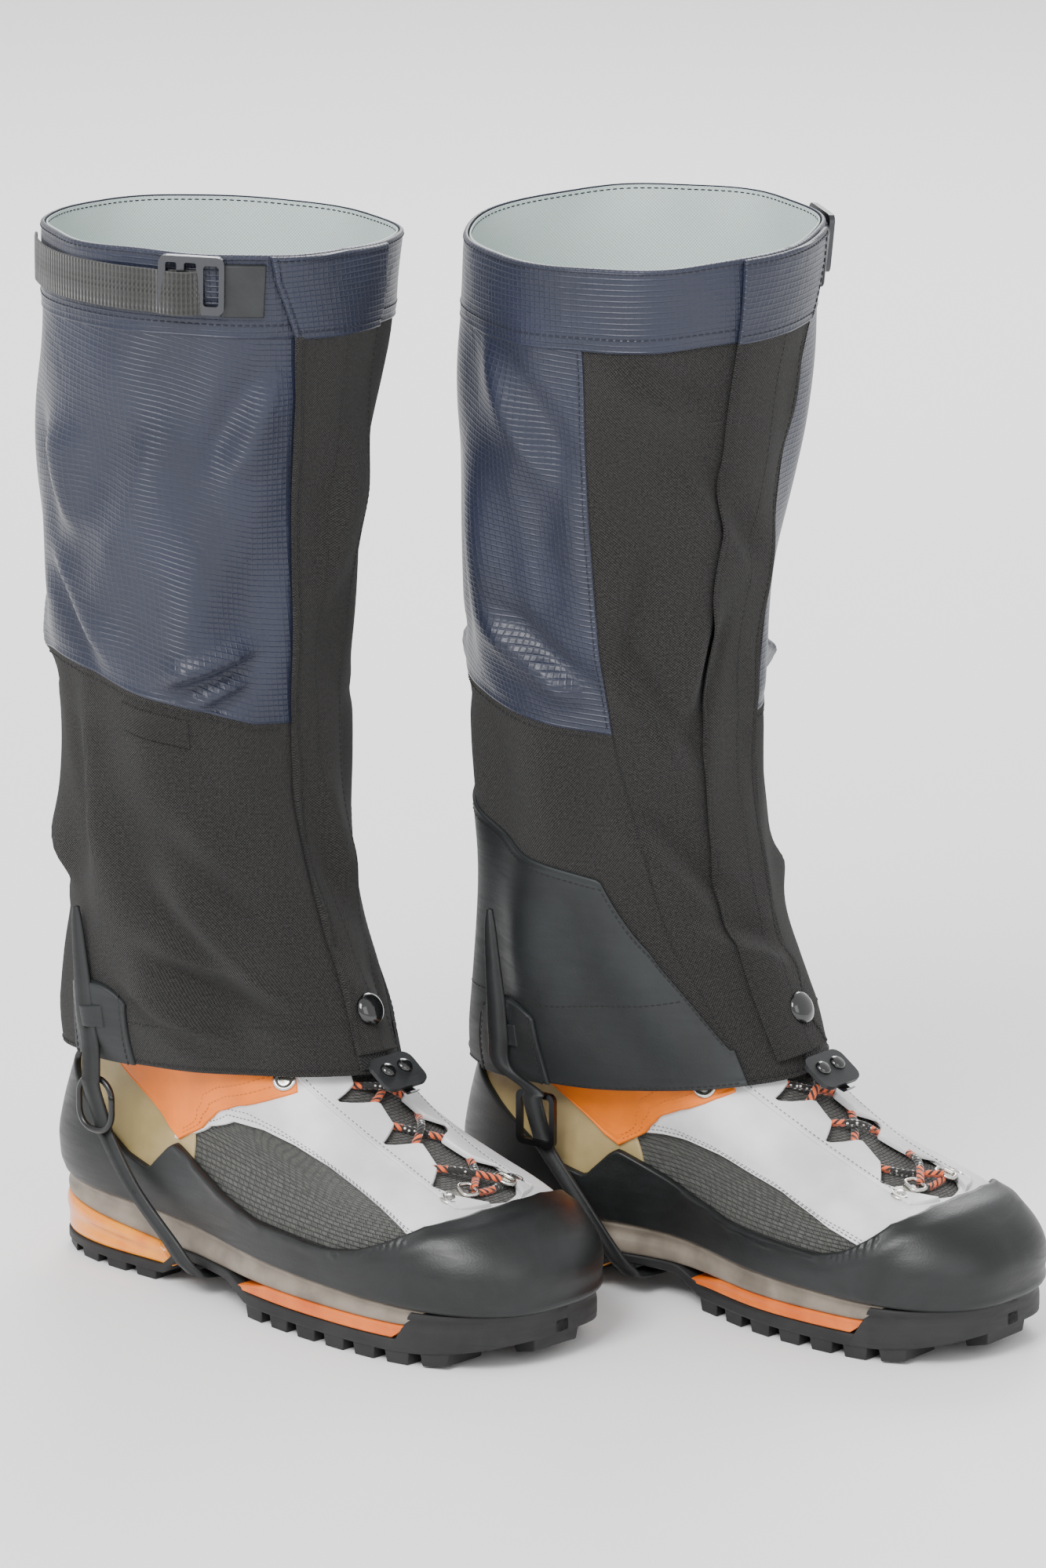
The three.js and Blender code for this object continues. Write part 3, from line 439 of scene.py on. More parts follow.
def prism(name, side, seat, outline, thickness, material, body, bevel=0.3):
    """A flat plate with an outline of (along, up) points, standing on a seat."""
    origin, along, up, out = seat
    flat = np.array([origin + along * x + up * y for x, y in outline])
    count = len(flat)
    points = np.concatenate([flat, flat + np.asarray(out) * thickness])
    faces = [list(range(count))[::-1], [count + i for i in range(count)]]
    faces += [[i, (i + 1) % count, count + (i + 1) % count, count + i] for i in range(count)]
    made = add_mesh(name, side, points, faces, material, body, smooth=False)
    round_edges(made, bevel)
    return made


def round_edges(made, width, segments=3):
    modifier = made.modifiers.new("Rounded edges", "BEVEL")
    modifier.width = width * MM
    modifier.segments = segments
    modifier.limit_method = "ANGLE"
    modifier.angle_limit = math.radians(35)
    modifier.harden_normals = True
    return made


def ring_outline(width, height, corner, count=6):
    """A rounded rectangle."""
    out = []
    for cx, cy, start in ((1, 1, 0), (-1, 1, 90), (-1, -1, 180), (1, -1, 270)):
        for k in range(count + 1):
            a = math.radians(start + 90 * k / count)
            out.append((cx * (width / 2 - corner) + corner * math.cos(a),
                        cy * (height / 2 - corner) + corner * math.sin(a)))
    return out


# ---------------------------------------------------------------- materials
def linear(colour):
    """An sRGB hex colour as linear red, green, blue and alpha."""
    parts = [int(colour[i: i + 2], 16) / 255 for i in (1, 3, 5)]
    return tuple(c / 12.92 if c <= 0.04045 else ((c + 0.055) / 1.055) ** 2.4 for c in parts) + (1,)


def tone(colour):
    """A colour for a node: linear values stay as they are, hex ones are turned into them."""
    return linear(colour) if isinstance(colour, str) else (*colour[:3], 1)


def darker(colour, share):
    """A share of a colour."""
    return tuple(part * share for part in colour[:3]) + (1,)


def node(tree, kind, values=None, links=None, **settings):
    """Adds one node with its settings, socket values and links."""
    made = tree.nodes.new(kind)
    for key, value in settings.items():
        setattr(made, key, value)
    for key, value in (values or {}).items():
        made.inputs[key].default_value = value
    for key, source in (links or {}).items():
        tree.links.new(source, made.inputs[key])
    return made


def new_material(name, roughness, **values):
    """A named material with a Principled shader; returns it, its tree and its shader."""
    made = bpy.data.materials.new(name)
    made.use_nodes = True
    tree = made.node_tree
    tree.nodes.clear()
    shader = node(tree, "ShaderNodeBsdfPrincipled", {"Roughness": roughness, **values})
    node(tree, "ShaderNodeOutputMaterial", links={"Surface": shader.outputs["BSDF"]})
    return made, tree, shader


def two_tone(tree, factor, low, high, dark, light):
    """A colour that goes from dark to light as the factor goes from low to high."""
    ramp = node(tree, "ShaderNodeValToRGB", links={"Fac": factor})
    ramp.color_ramp.elements[0].position = low
    ramp.color_ramp.elements[0].color = tone(dark)
    ramp.color_ramp.elements[1].position = high
    ramp.color_ramp.elements[1].color = tone(light)
    return ramp.outputs["Color"]


def leather(name, dark, light, roughness, grain=0.10):
    """Leather: fine pebbled grain, soft creases and uneven colour."""
    made, tree, shader = new_material(name, roughness, **{"Specular IOR Level": 0.5})
    place = node(tree, "ShaderNodeTexCoord").outputs["Object"]
    cloudy = node(tree, "ShaderNodeTexNoise", {"Scale": 28.0, "Detail": 5.0}, {"Vector": place})
    tree.links.new(two_tone(tree, cloudy.outputs["Fac"], 0.38, 0.62, dark, light), shader.inputs["Base Color"])
    pebbles = node(tree, "ShaderNodeTexVoronoi", {"Scale": 1500.0}, {"Vector": place})
    creases = node(tree, "ShaderNodeTexNoise", {"Scale": 110.0, "Detail": 6.0, "Distortion": 0.8}, {"Vector": place})
    mixed = node(tree, "ShaderNodeMath", None, {0: pebbles.outputs["Distance"], 1: creases.outputs["Fac"]},
                 operation="ADD")
    bump = node(tree, "ShaderNodeBump", {"Strength": grain, "Distance": 0.0006}, {"Height": mixed.outputs[0]})
    tree.links.new(bump.outputs["Normal"], shader.inputs["Normal"])
    rough = node(tree, "ShaderNodeMapRange", {"To Min": roughness - 0.08, "To Max": roughness + 0.1},
                 {"Value": creases.outputs["Fac"]})
    tree.links.new(rough.outputs["Result"], shader.inputs["Roughness"])
    return made


def rubber(name, dark, light, roughness, scuffs=0.25):
    """Moulded rubber: matt, a little dusty, with faint scuffs."""
    made, tree, shader = new_material(name, roughness, **{"Specular IOR Level": 0.45})
    place = node(tree, "ShaderNodeTexCoord").outputs["Object"]
    dust = node(tree, "ShaderNodeTexNoise", {"Scale": 22.0, "Detail": 8.0, "Roughness": 0.65, "Distortion": 0.6},
                {"Vector": place})
    tree.links.new(two_tone(tree, dust.outputs["Fac"], 0.4, 0.68, dark, light), shader.inputs["Base Color"])
    fine = node(tree, "ShaderNodeTexNoise", {"Scale": 900.0, "Detail": 4.0}, {"Vector": place})
    stretched = node(tree, "ShaderNodeMapping", {"Scale": (30.0, 30.0, 260.0)}, {"Vector": place})
    scratch = node(tree, "ShaderNodeTexNoise", {"Scale": 1.0, "Detail": 7.0, "Distortion": 1.5},
                   {"Vector": stretched.outputs["Vector"]})
    mixed = node(tree, "ShaderNodeMix", {"Factor": scuffs}, {"A": fine.outputs["Fac"], "B": scratch.outputs["Fac"]},
                 data_type="FLOAT")
    bump = node(tree, "ShaderNodeBump", {"Strength": 0.25, "Distance": 0.0004}, {"Height": mixed.outputs["Result"]})
    tree.links.new(bump.outputs["Normal"], shader.inputs["Normal"])
    rough = node(tree, "ShaderNodeMapRange", {"To Min": roughness - 0.12, "To Max": roughness + 0.15},
                 {"Value": scratch.outputs["Fac"]})
    tree.links.new(rough.outputs["Result"], shader.inputs["Roughness"])
    return made


def woven(name, dark, light, thread, roughness, depth=0.0004, sheen=0.15, ribs=0.0, fleck=0.5):
    """Plain weave: threads of one width crossing, each a little lighter or darker."""
    made, tree, shader = new_material(
        name, roughness, **{"Sheen Weight": sheen, "Sheen Roughness": 0.5, "Specular IOR Level": 0.35})
    place = node(tree, "ShaderNodeTexCoord").outputs["UV"]
    scale = 0.314 / (2 * thread)
    warp = node(tree, "ShaderNodeTexWave", {"Scale": scale, "Distortion": 0.35, "Detail": 1.0, "Detail Scale": 1.2},
                {"Vector": place}, bands_direction="X")
    weft = node(tree, "ShaderNodeTexWave", {"Scale": scale, "Distortion": 0.35, "Detail": 1.0, "Detail Scale": 1.2},
                {"Vector": place}, bands_direction="Y")
    low = node(tree, "ShaderNodeMath", {1: 0.5}, {0: warp.outputs["Fac"]}, operation="SUBTRACT")
    high = node(tree, "ShaderNodeMath", {1: 0.5}, {0: weft.outputs["Fac"]}, operation="SUBTRACT")
    over = node(tree, "ShaderNodeMath", None, {0: low.outputs[0], 1: high.outputs[0]}, operation="MULTIPLY")
    height = node(tree, "ShaderNodeMath", {1: 2.0, 2: 0.5}, {0: over.outputs[0]}, operation="MULTIPLY_ADD")
    flecks = node(tree, "ShaderNodeTexNoise", {"Scale": 0.5 / thread, "Detail": 3.0, "Roughness": 0.7}, {"Vector": place})
    blend = node(tree, "ShaderNodeMix", {"Factor": fleck}, {"A": height.outputs[0], "B": flecks.outputs["Fac"]},
                 data_type="FLOAT")
    colour = two_tone(tree, blend.outputs["Result"], 0.44, 0.68, dark, light)
    tree.links.new(colour, shader.inputs["Base Color"])
    surface = height.outputs[0]
    if ribs:
        rib = node(tree, "ShaderNodeTexWave", {"Scale": 0.314 / ribs, "Distortion": 0.2}, {"Vector": place},
                   bands_direction="Y")
        sharp = node(tree, "ShaderNodeMath", {1: 6.0}, {0: rib.outputs["Fac"]}, operation="POWER")
        surface = node(tree, "ShaderNodeMath", {1: 2.5}, {0: sharp.outputs[0], 2: surface},
                       operation="MULTIPLY_ADD").outputs[0]
    bump = node(tree, "ShaderNodeBump", {"Strength": 0.8, "Distance": depth}, {"Height": surface})
    tree.links.new(bump.outputs["Normal"], shader.inputs["Normal"])
    return made


def ripstop(name, dark, light, line, roughness):
    """Light ripstop: a fine weave with raised threads every few millimetres, mostly across."""
    made, tree, shader = new_material(name, roughness, **{"Sheen Weight": 0.1, "Specular IOR Level": 0.5})
    place = node(tree, "ShaderNodeTexCoord").outputs["UV"]
    across = node(tree, "ShaderNodeTexWave", {"Scale": 0.314 / 2.6, "Distortion": 0.25, "Detail": 1.0}, {"Vector": place},
                  bands_direction="Y")
    upright = node(tree, "ShaderNodeTexWave", {"Scale": 0.314 / 2.6, "Distortion": 0.25, "Detail": 1.0},
                   {"Vector": place}, bands_direction="X")
    a = node(tree, "ShaderNodeMath", {1: 7.0}, {0: across.outputs["Fac"]}, operation="POWER")
    b = node(tree, "ShaderNodeMath", {1: 9.0}, {0: upright.outputs["Fac"]}, operation="POWER")
    half = node(tree, "ShaderNodeMath", {1: 0.45}, {0: b.outputs[0]}, operation="MULTIPLY")
    grid = node(tree, "ShaderNodeMath", None, {0: a.outputs[0], 1: half.outputs[0]}, operation="MAXIMUM")
    cloudy = node(tree, "ShaderNodeTexNoise", {"Scale": 0.02, "Detail": 6.0}, {"Vector": place})
    base = two_tone(tree, cloudy.outputs["Fac"], 0.35, 0.65, dark, light)
    mixed = node(tree, "ShaderNodeMix", None, None, data_type="RGBA")
    share = node(tree, "ShaderNodeMath", {1: 0.35}, {0: grid.outputs[0]}, operation="MULTIPLY")
    tree.links.new(share.outputs[0], mixed.inputs["Factor"])
    tree.links.new(base, mixed.inputs[6])
    mixed.inputs[7].default_value = tone(line)
    tree.links.new(mixed.outputs[2], shader.inputs["Base Color"])
    crumple = node(tree, "ShaderNodeTexNoise", {"Scale": 0.09, "Detail": 5.0, "Distortion": 0.6}, {"Vector": place})
    height = node(tree, "ShaderNodeMath", {1: 3.0}, {0: crumple.outputs["Fac"], 2: grid.outputs[0]},
                  operation="MULTIPLY_ADD")
    bump = node(tree, "ShaderNodeBump", {"Strength": 0.7, "Distance": 0.0004}, {"Height": height.outputs[0]})
    tree.links.new(bump.outputs["Normal"], shader.inputs["Normal"])
    return made


def knitted(name, dark, light, size, roughness=0.85):
    """Open technical mesh: rows of light cells with dark gaps, staggered like bricks."""
    made, tree, shader = new_material(name, roughness, **{"Sheen Weight": 0.2})
    place = node(tree, "ShaderNodeTexCoord").outputs["UV"]
    cells = node(tree, "ShaderNodeTexBrick", {
        "Scale": 1.0, "Mortar Size": size * 0.2, "Mortar Smooth": 1.0, "Brick Width": size * 1.5,
        "Row Height": size * 0.9, "Color1": linear(light), "Color2": linear(light), "Mortar": linear(dark)},
        {"Vector": place})
    uneven = node(tree, "ShaderNodeTexNoise", {"Scale": 0.9 / size, "Detail": 3.0}, {"Vector": place})
    shade = node(tree, "ShaderNodeMix", {"Factor": 0.6}, data_type="RGBA", blend_type="MULTIPLY")
    tree.links.new(cells.outputs["Color"], shade.inputs[6])
    tree.links.new(two_tone(tree, uneven.outputs["Fac"], 0.35, 0.6, "#5a5a58", "#ffffff"), shade.inputs[7])
    tree.links.new(shade.outputs[2], shader.inputs["Base Color"])
    bump = node(tree, "ShaderNodeBump", {"Strength": 1.0, "Distance": 0.0007}, {"Height": cells.outputs["Fac"]},
                invert=True)
    tree.links.new(bump.outputs["Normal"], shader.inputs["Normal"])
    return made


def metal(name, colour, roughness):
    """Plated metal with a faint brushed unevenness."""
    made, tree, shader = new_material(name, roughness, **{"Metallic": 1.0, "Base Color": linear(colour)})
    place = node(tree, "ShaderNodeTexCoord").outputs["Object"]
    worn = node(tree, "ShaderNodeTexNoise", {"Scale": 260.0, "Detail": 6.0, "Distortion": 1.0}, {"Vector": place})
    rough = node(tree, "ShaderNodeMapRange", {"To Min": roughness - 0.07, "To Max": roughness + 0.12},
                 {"Value": worn.outputs["Fac"]})
    tree.links.new(rough.outputs["Result"], shader.inputs["Roughness"])
    bump = node(tree, "ShaderNodeBump", {"Strength": 0.12, "Distance": 0.0002}, {"Height": worn.outputs["Fac"]})
    tree.links.new(bump.outputs["Normal"], shader.inputs["Normal"])
    return made


def moulded(name, dark, light, roughness, **values):
    """Moulded plastic or foam: a faint mottle and a fine skin."""
    made, tree, shader = new_material(name, roughness, **values)
    place = node(tree, "ShaderNodeTexCoord").outputs["Object"]
    mottle = node(tree, "ShaderNodeTexNoise", {"Scale": 60.0, "Detail": 6.0}, {"Vector": place})
    tree.links.new(two_tone(tree, mottle.outputs["Fac"], 0.35, 0.65, dark, light), shader.inputs["Base Color"])
    fine = node(tree, "ShaderNodeTexNoise", {"Scale": 1200.0, "Detail": 3.0}, {"Vector": place})
    bump = node(tree, "ShaderNodeBump", {"Strength": 0.15, "Distance": 0.0003}, {"Height": fine.outputs["Fac"]})
    tree.links.new(bump.outputs["Normal"], shader.inputs["Normal"])
    return made


def lace_braid(name):
    """Braided lace: orange lengths with fine dark lines, then black lengths with pale flecks."""
    made, tree, shader = new_material(name, 0.8, **{"Sheen Weight": 0.3})
    place = node(tree, "ShaderNodeTexCoord").outputs["UV"]
    parts = node(tree, "ShaderNodeSeparateXYZ", None, {"Vector": place})
    period = node(tree, "ShaderNodeMath", {1: 25.0}, {0: parts.outputs["X"]}, operation="MODULO")
    orange = node(tree, "ShaderNodeMath", {1: 12.5}, {0: period.outputs[0]}, operation="LESS_THAN")
    lines = node(tree, "ShaderNodeTexWave", {"Scale": 0.314 / 1.9, "Distortion": 0.3}, {"Vector": place},
                 bands_direction="DIAGONAL")
    warm = two_tone(tree, lines.outputs["Fac"], 0.25, 0.5, "#241a15", "#e0602c")
    dots = node(tree, "ShaderNodeTexVoronoi", {"Scale": 0.42, "Randomness": 0.35}, {"Vector": place})
    cold = two_tone(tree, dots.outputs["Distance"], 0.2, 0.27, "#e8e4dc", "#161413")
    mixed = node(tree, "ShaderNodeMix", None, {"Factor": orange.outputs[0]}, data_type="RGBA")
    tree.links.new(cold, mixed.inputs[6])
    tree.links.new(warm, mixed.inputs[7])
    tree.links.new(mixed.outputs[2], shader.inputs["Base Color"])
    braid = node(tree, "ShaderNodeTexWave", {"Scale": 0.314 / 1.3}, {"Vector": place}, bands_direction="DIAGONAL")
    bump = node(tree, "ShaderNodeBump", {"Strength": 0.7, "Distance": 0.0004}, {"Height": braid.outputs["Fac"]})
    tree.links.new(bump.outputs["Normal"], shader.inputs["Normal"])
    return made


def ribbed_webbing(name):
    """Woven strap: a rib across every two millimetres, crossed by fine warp threads."""
    made, tree, shader = new_material(name, 0.6, **{"Sheen Weight": 0.2})
    place = node(tree, "ShaderNodeTexCoord").outputs["UV"]
    rib = node(tree, "ShaderNodeTexWave", {"Scale": 0.314 / 2.1}, {"Vector": place}, bands_direction="X")
    warp = node(tree, "ShaderNodeTexWave", {"Scale": 0.314 / 1.1}, {"Vector": place}, bands_direction="Y")
    height = node(tree, "ShaderNodeMath", {1: 0.4}, {0: warp.outputs["Fac"], 2: rib.outputs["Fac"]},
                  operation="MULTIPLY_ADD")
    tree.links.new(two_tone(tree, height.outputs[0], 0.2, 1.1, "#080808", "#2a2a28"), shader.inputs["Base Color"])
    bump = node(tree, "ShaderNodeBump", {"Strength": 1.0, "Distance": 0.0006}, {"Height": height.outputs[0]})
    tree.links.new(bump.outputs["Normal"], shader.inputs["Normal"])
    return made


def make_materials(settings):
    """All the materials, by what they are."""
    grey, orange, navy, black = settings.leather, settings.accent, settings.ripstop, settings.heavy_cloth
    return {
        "grey_leather": leather("Silver grey full grain leather", darker(grey, 0.78), grey, 0.42),
        "orange_leather": leather("Orange nubuck leather", darker(orange, 0.75), orange, 0.55, 0.06),
        "khaki_leather": leather("Khaki coated leather", "#8c7a4c", "#a9956a", 0.55, 0.08),
        "rand": rubber("Dark rubber rand", "#0f1111", "#1c1f20", 0.42),
        "sole": rubber("Lugged sole rubber", "#121213", "#222223", 0.6),
        "patch": rubber("Rubberised patch", "#131617", "#1d2123", 0.55, 0.1),
        "strap_rubber": rubber("Strap rubber", "#131415", "#1f2122", 0.5, 0.1),
        "tab": rubber("Thick tab rubber", "#17191a", "#25282a", 0.45, 0.1),
        "cordura": woven("Coarse black polyamide cloth", darker(black, 0.1), black, 0.62, 1.1, 0.0009, 0.06, fleck=0.62),
        "flap_cloth": woven("Black polyamide flap cloth", darker(black, 0.12), darker(black, 0.85), 0.62, 1.1, 0.0009,
                            0.06, fleck=0.62),
        "ripstop": ripstop("Navy ripstop cloth", darker(navy, 0.72), navy, "#212840", 0.4),
        "lining": woven("Pale coated cloth back", "#b2c0bd", "#c9d6d3", 0.8, 0.6, 0.0002, 0.1, fleck=0.3),
        "side_mesh": knitted("Grey side mesh", "#050505", "#4c4d48", 2.6),
        "tongue_mesh": knitted("Dark tongue mesh", "#090909", "#4b4a46", 2.0),
        "boot_lining": woven("Knitted boot lining", "#1c1e20", "#323639", 1.0, 0.9),
        "felt": woven("Felt footbed", "#2c3033", "#484d50", 0.7, 0.95),
        "hook_tape": woven("Hook and loop tape", "#070707", "#222121", 0.9, 0.9, 0.001, fleck=0.8),
        "webbing": ribbed_webbing("Ribbed polyamide webbing"),
        "midsole": moulded("Grey beige midsole foam", "#6a6156", "#857b6e", 0.5),
        "amber": moulded("Translucent amber cushion", "#e57a04", "#f79b12", 0.28,
                         **{"Subsurface Weight": 0.2, "Subsurface Scale": 0.003, "Coat Weight": 0.4}),
        "orange_plastic": moulded("Orange sole insert", "#cc5a0c", "#de6f20", 0.4),
        "enamel": moulded("Black enamelled snap", "#08090a", "#101112", 0.12, **{"Coat Weight": 0.7}),
        "dark_steel": metal("Dark plated steel", "#4a4b4e", 0.3),
        "silver": metal("Nickel plated steel", "#cfcdc7", 0.26),
        "black_metal": metal("Black plated steel", "#2a2a2c", 0.32),
        "ring_nylon": moulded("Black nylon ring", "#0c0c0d", "#1a1a1b", 0.3),
        "lace": lace_braid("Orange and black lace"),
        "navy_thread": moulded("Navy sewing thread", "#0d0f1b", "#171a2a", 0.7),
        "black_thread": moulded("Black sewing thread", "#050505", "#131212", 0.7),
        "dark_thread": moulded("Grey sewing thread", "#5c5d60", "#77787c", 0.7),
        "orange_thread": moulded("Orange sewing thread", "#b85c12", "#d67a28", 0.7),
    }


# ---------------------------------------------------------------- folds of the cloth
# Main folds of each gaiter: from (angle, height) to (angle, height), half width and height in mm.
FOLDS = {
    "right": [
        (-60, 296, -25, 309, 5, 4.5), (-47, 285, -27, 296, 4, 3.0), (-112, 348, -84, 300, 9, 3.5),
        (-24, 440, -37, 392, 8, 3.0), (-110, 410, -98, 355, 12, 3.0), (-80, 174, -26, 146, 8, 4.0),
        (-70, 202, -35, 150, 8, 3.0), (-100, 290, -96, 205, 9, 3.0), (-58, 232, -25, 188, 10, 3.0),
        (-95, 150, -60, 128, 7, 2.5), (-60, 420, -90, 330, 14, 2.0), (100, 300, 150, 280, 8, 3.5),
        (120, 420, 170, 350, 13, 2.5), (190, 320, 230, 292, 8, 3.0), (200, 230, 240, 190, 10, 3.0),
        (8, 390, 4, 330, 8, 2.5), (2, 250, 12, 190, 8, 2.5),
    ],
    "left": [
        (116, 456, 80, 384, 9, 3.0), (108, 318, 68, 286, 7, 4.0), (60, 310, 26, 250, 8, 4.0),
        (56, 230, 20, 180, 9, 4.0), (36, 396, 3, 340, 8, 3.0), (40, 182, -2, 158, 8, 3.0),
        (66, 446, 30, 418, 7, 2.5), (96, 400, 88, 320, 12, 2.5), (-30, 300, -70, 285, 7, 4.0),
        (-50, 420, -95, 350, 12, 2.5), (-40, 200, -90, 160, 9, 3.5), (200, 320, 150, 292, 8, 3.5),
        (170, 240, 210, 190, 10, 3.0), (18, 330, 30, 270, 7, 3.0), (50, 360, 62, 300, 8, 2.5),
    ],
}


def drape_field(side, seed, depth):
    """Folds over the whole gaiter: the listed ones, softer ones between them, and none at the rim."""
    chance = np.random.default_rng(seed)
    angle = np.linspace(0, 360, 241)[:, None]
    t = np.linspace(0, RIM, 161)[None, :]
    height = gaiter(angle + 0 * t, t + 0 * angle)[..., 2]
    field = np.zeros_like(height)
    for a0, z0, a1, z1, width, tall in FOLDS[side]:
        turn = (angle - a0 + 180) % 360 - 180
        x, y = turn * 1.15, height - z0
        dx, dy = (a1 - a0) * 1.15, z1 - z0
        length = math.hypot(dx, dy)
        along = (x * dx + y * dy) / length**2
        aside = (x * dy - y * dx) / length
        reach = np.exp(-np.maximum(0, np.abs(along - 0.5) - 0.25) ** 2 / 0.05)
        wide = np.where(aside > 0, width * 0.55, width * 1.25)
        wave = np.exp(-np.abs(aside / wide) ** 1.6) - 0.6 * bell(aside, 1.35 * width, 0.7 * width)
        field += tall * wave * reach
    around = np.radians(angle)
    for _ in range(16):
        turns, rise = chance.integers(2, 11), chance.uniform(15, 60)
        field += chance.uniform(0.15, 0.5) * np.sin(
            turns * around + height / rise * chance.choice([-1, 1]) + chance.uniform(0, 6.28))
    hold = 1 - bell(height, 472, 26) * 0.85
    hold = hold * (1 - 0.65 * bell(height, 275, 5))
    hold = hold * np.clip(t / 1.2, 0.25, 1)
    return field * hold * depth


# ---------------------------------------------------------------- sole
def sole_edge(f, inside):
    """The side of the sole at a distance forward, in mm."""
    back, front, out, inn, wide_out, wide_in, power = UPPER_ROWS[0][2:9]
    wide = wide_in if inside else wide_out
    reach = np.where(f >= wide, (f - wide) / (front + 4 - wide), (wide - f) / (wide - back + 3))
    half = (inn if inside else out) + 1.5
    m = half * np.maximum(0, 1 - np.clip(reach, 0, 1) ** power) ** (1 / power) * (1 if inside else -1)
    return m - waist_at(f, m)


def toe_lift(f):
    """How far the sole rises off the ground towards the toe."""
    return 8 * np.clip((f - 245) / 56, 0, 1) ** 2


def midsole_top(f):
    """Height of the top of the midsole."""
    return 39 - 13 * (f - 3) / 294 - 0.3


MIDSOLE_LOW = [[0, 28.3], [86, 19.5], [96, 19.3], [134, 18.9], [252, 18.9], [272, 20.5], [300, 21]]
TREAD = [[0, 4.5], [84, 4.5], [97, 15], [134, 14], [150, 6], [300, 6]]
OUTSOLE_TOP = [[0, 9], [84, 9], [96, 19.2], [134, 18.6], [150, 12], [300, 12]]


def sole_slab(name, side, start, end, bottom, top, material, body, bulge=None, inset=0.0, slant=(0, 0)):
    """A slab of the sole with shaped side walls. slant leans its two ends, in mm over its height."""
    count = int((end - start) / 3) + 8
    share = 0.5 - 0.5 * np.cos(np.pi * np.linspace(0, 1, count))
    h = np.array([0, 0.04, 0.12, 0.22, 0.34, 0.46, 0.58, 0.7, 0.8, 0.88, 0.96, 1.0])
    corner = 0.7 * (bell(h, 0, 0.05) + bell(h, 1, 0.05))
    place = start + (end - start) * share[:, None]
    lean = (slant[0] * (1 - share[:, None]) ** 6 + slant[1] * share[:, None] ** 6) * (h - 0.5)
    f = np.clip(place + lean, 0.02, 300.98)
    z = bottom(f) + (top(f) - bottom(f)) * h
    push = (bulge(f, h) if bulge else 0 * f) - corner - inset
    outside = np.minimum(sole_edge(f, False) - push, -0.3)
    inside = np.maximum(sole_edge(f, True) + push, 0.3)
    left = np.stack([outside, -f, z], -1)
    right = np.stack([inside, -f, z], -1)[:, ::-1]
    rings = np.concatenate([left, right], 1)
    size = rings.shape[1]
    faces = []
    for i in range(count - 1):
        for j in range(size):
            a, b = i * size + j, i * size + (j + 1) % size
            faces.append([a, a + size, b + size, b])
    faces.append(list(range(size)))
    faces.append([(count - 1) * size + j for j in range(size - 1, -1, -1)])
    uv = np.stack([rings[..., 1], rings[..., 2] + rings[..., 0]], -1).reshape(-1, 2)
    made = add_mesh(name, side, rings.reshape(-1, 3), faces, material, body, uv)
    return made


def lug(f, length, inside, depth, centred):
    """One block of the tread: its eight corners, a little narrower at the ground."""
    points = []
    for level in (0, 1):
        shrink = 1.1 * (1 - level)
        for at, deep in ((-1, 0), (1, 0), (1, 1), (-1, 1)):
            place = f + at * (length / 2 - shrink)
            edge = float(sole_edge(np.array(place), inside))
            if centred:
                m = (deep - 0.5) * (depth - 2 * shrink)
            else:
                m = edge - np.sign(edge) * (shrink * 0.6 + deep * (depth - shrink))
            low = float(toe_lift(np.array(place)))
            points.append([m, -place, low if level == 0 else low + read(TREAD, place) + 2.5])
    return np.array(points)


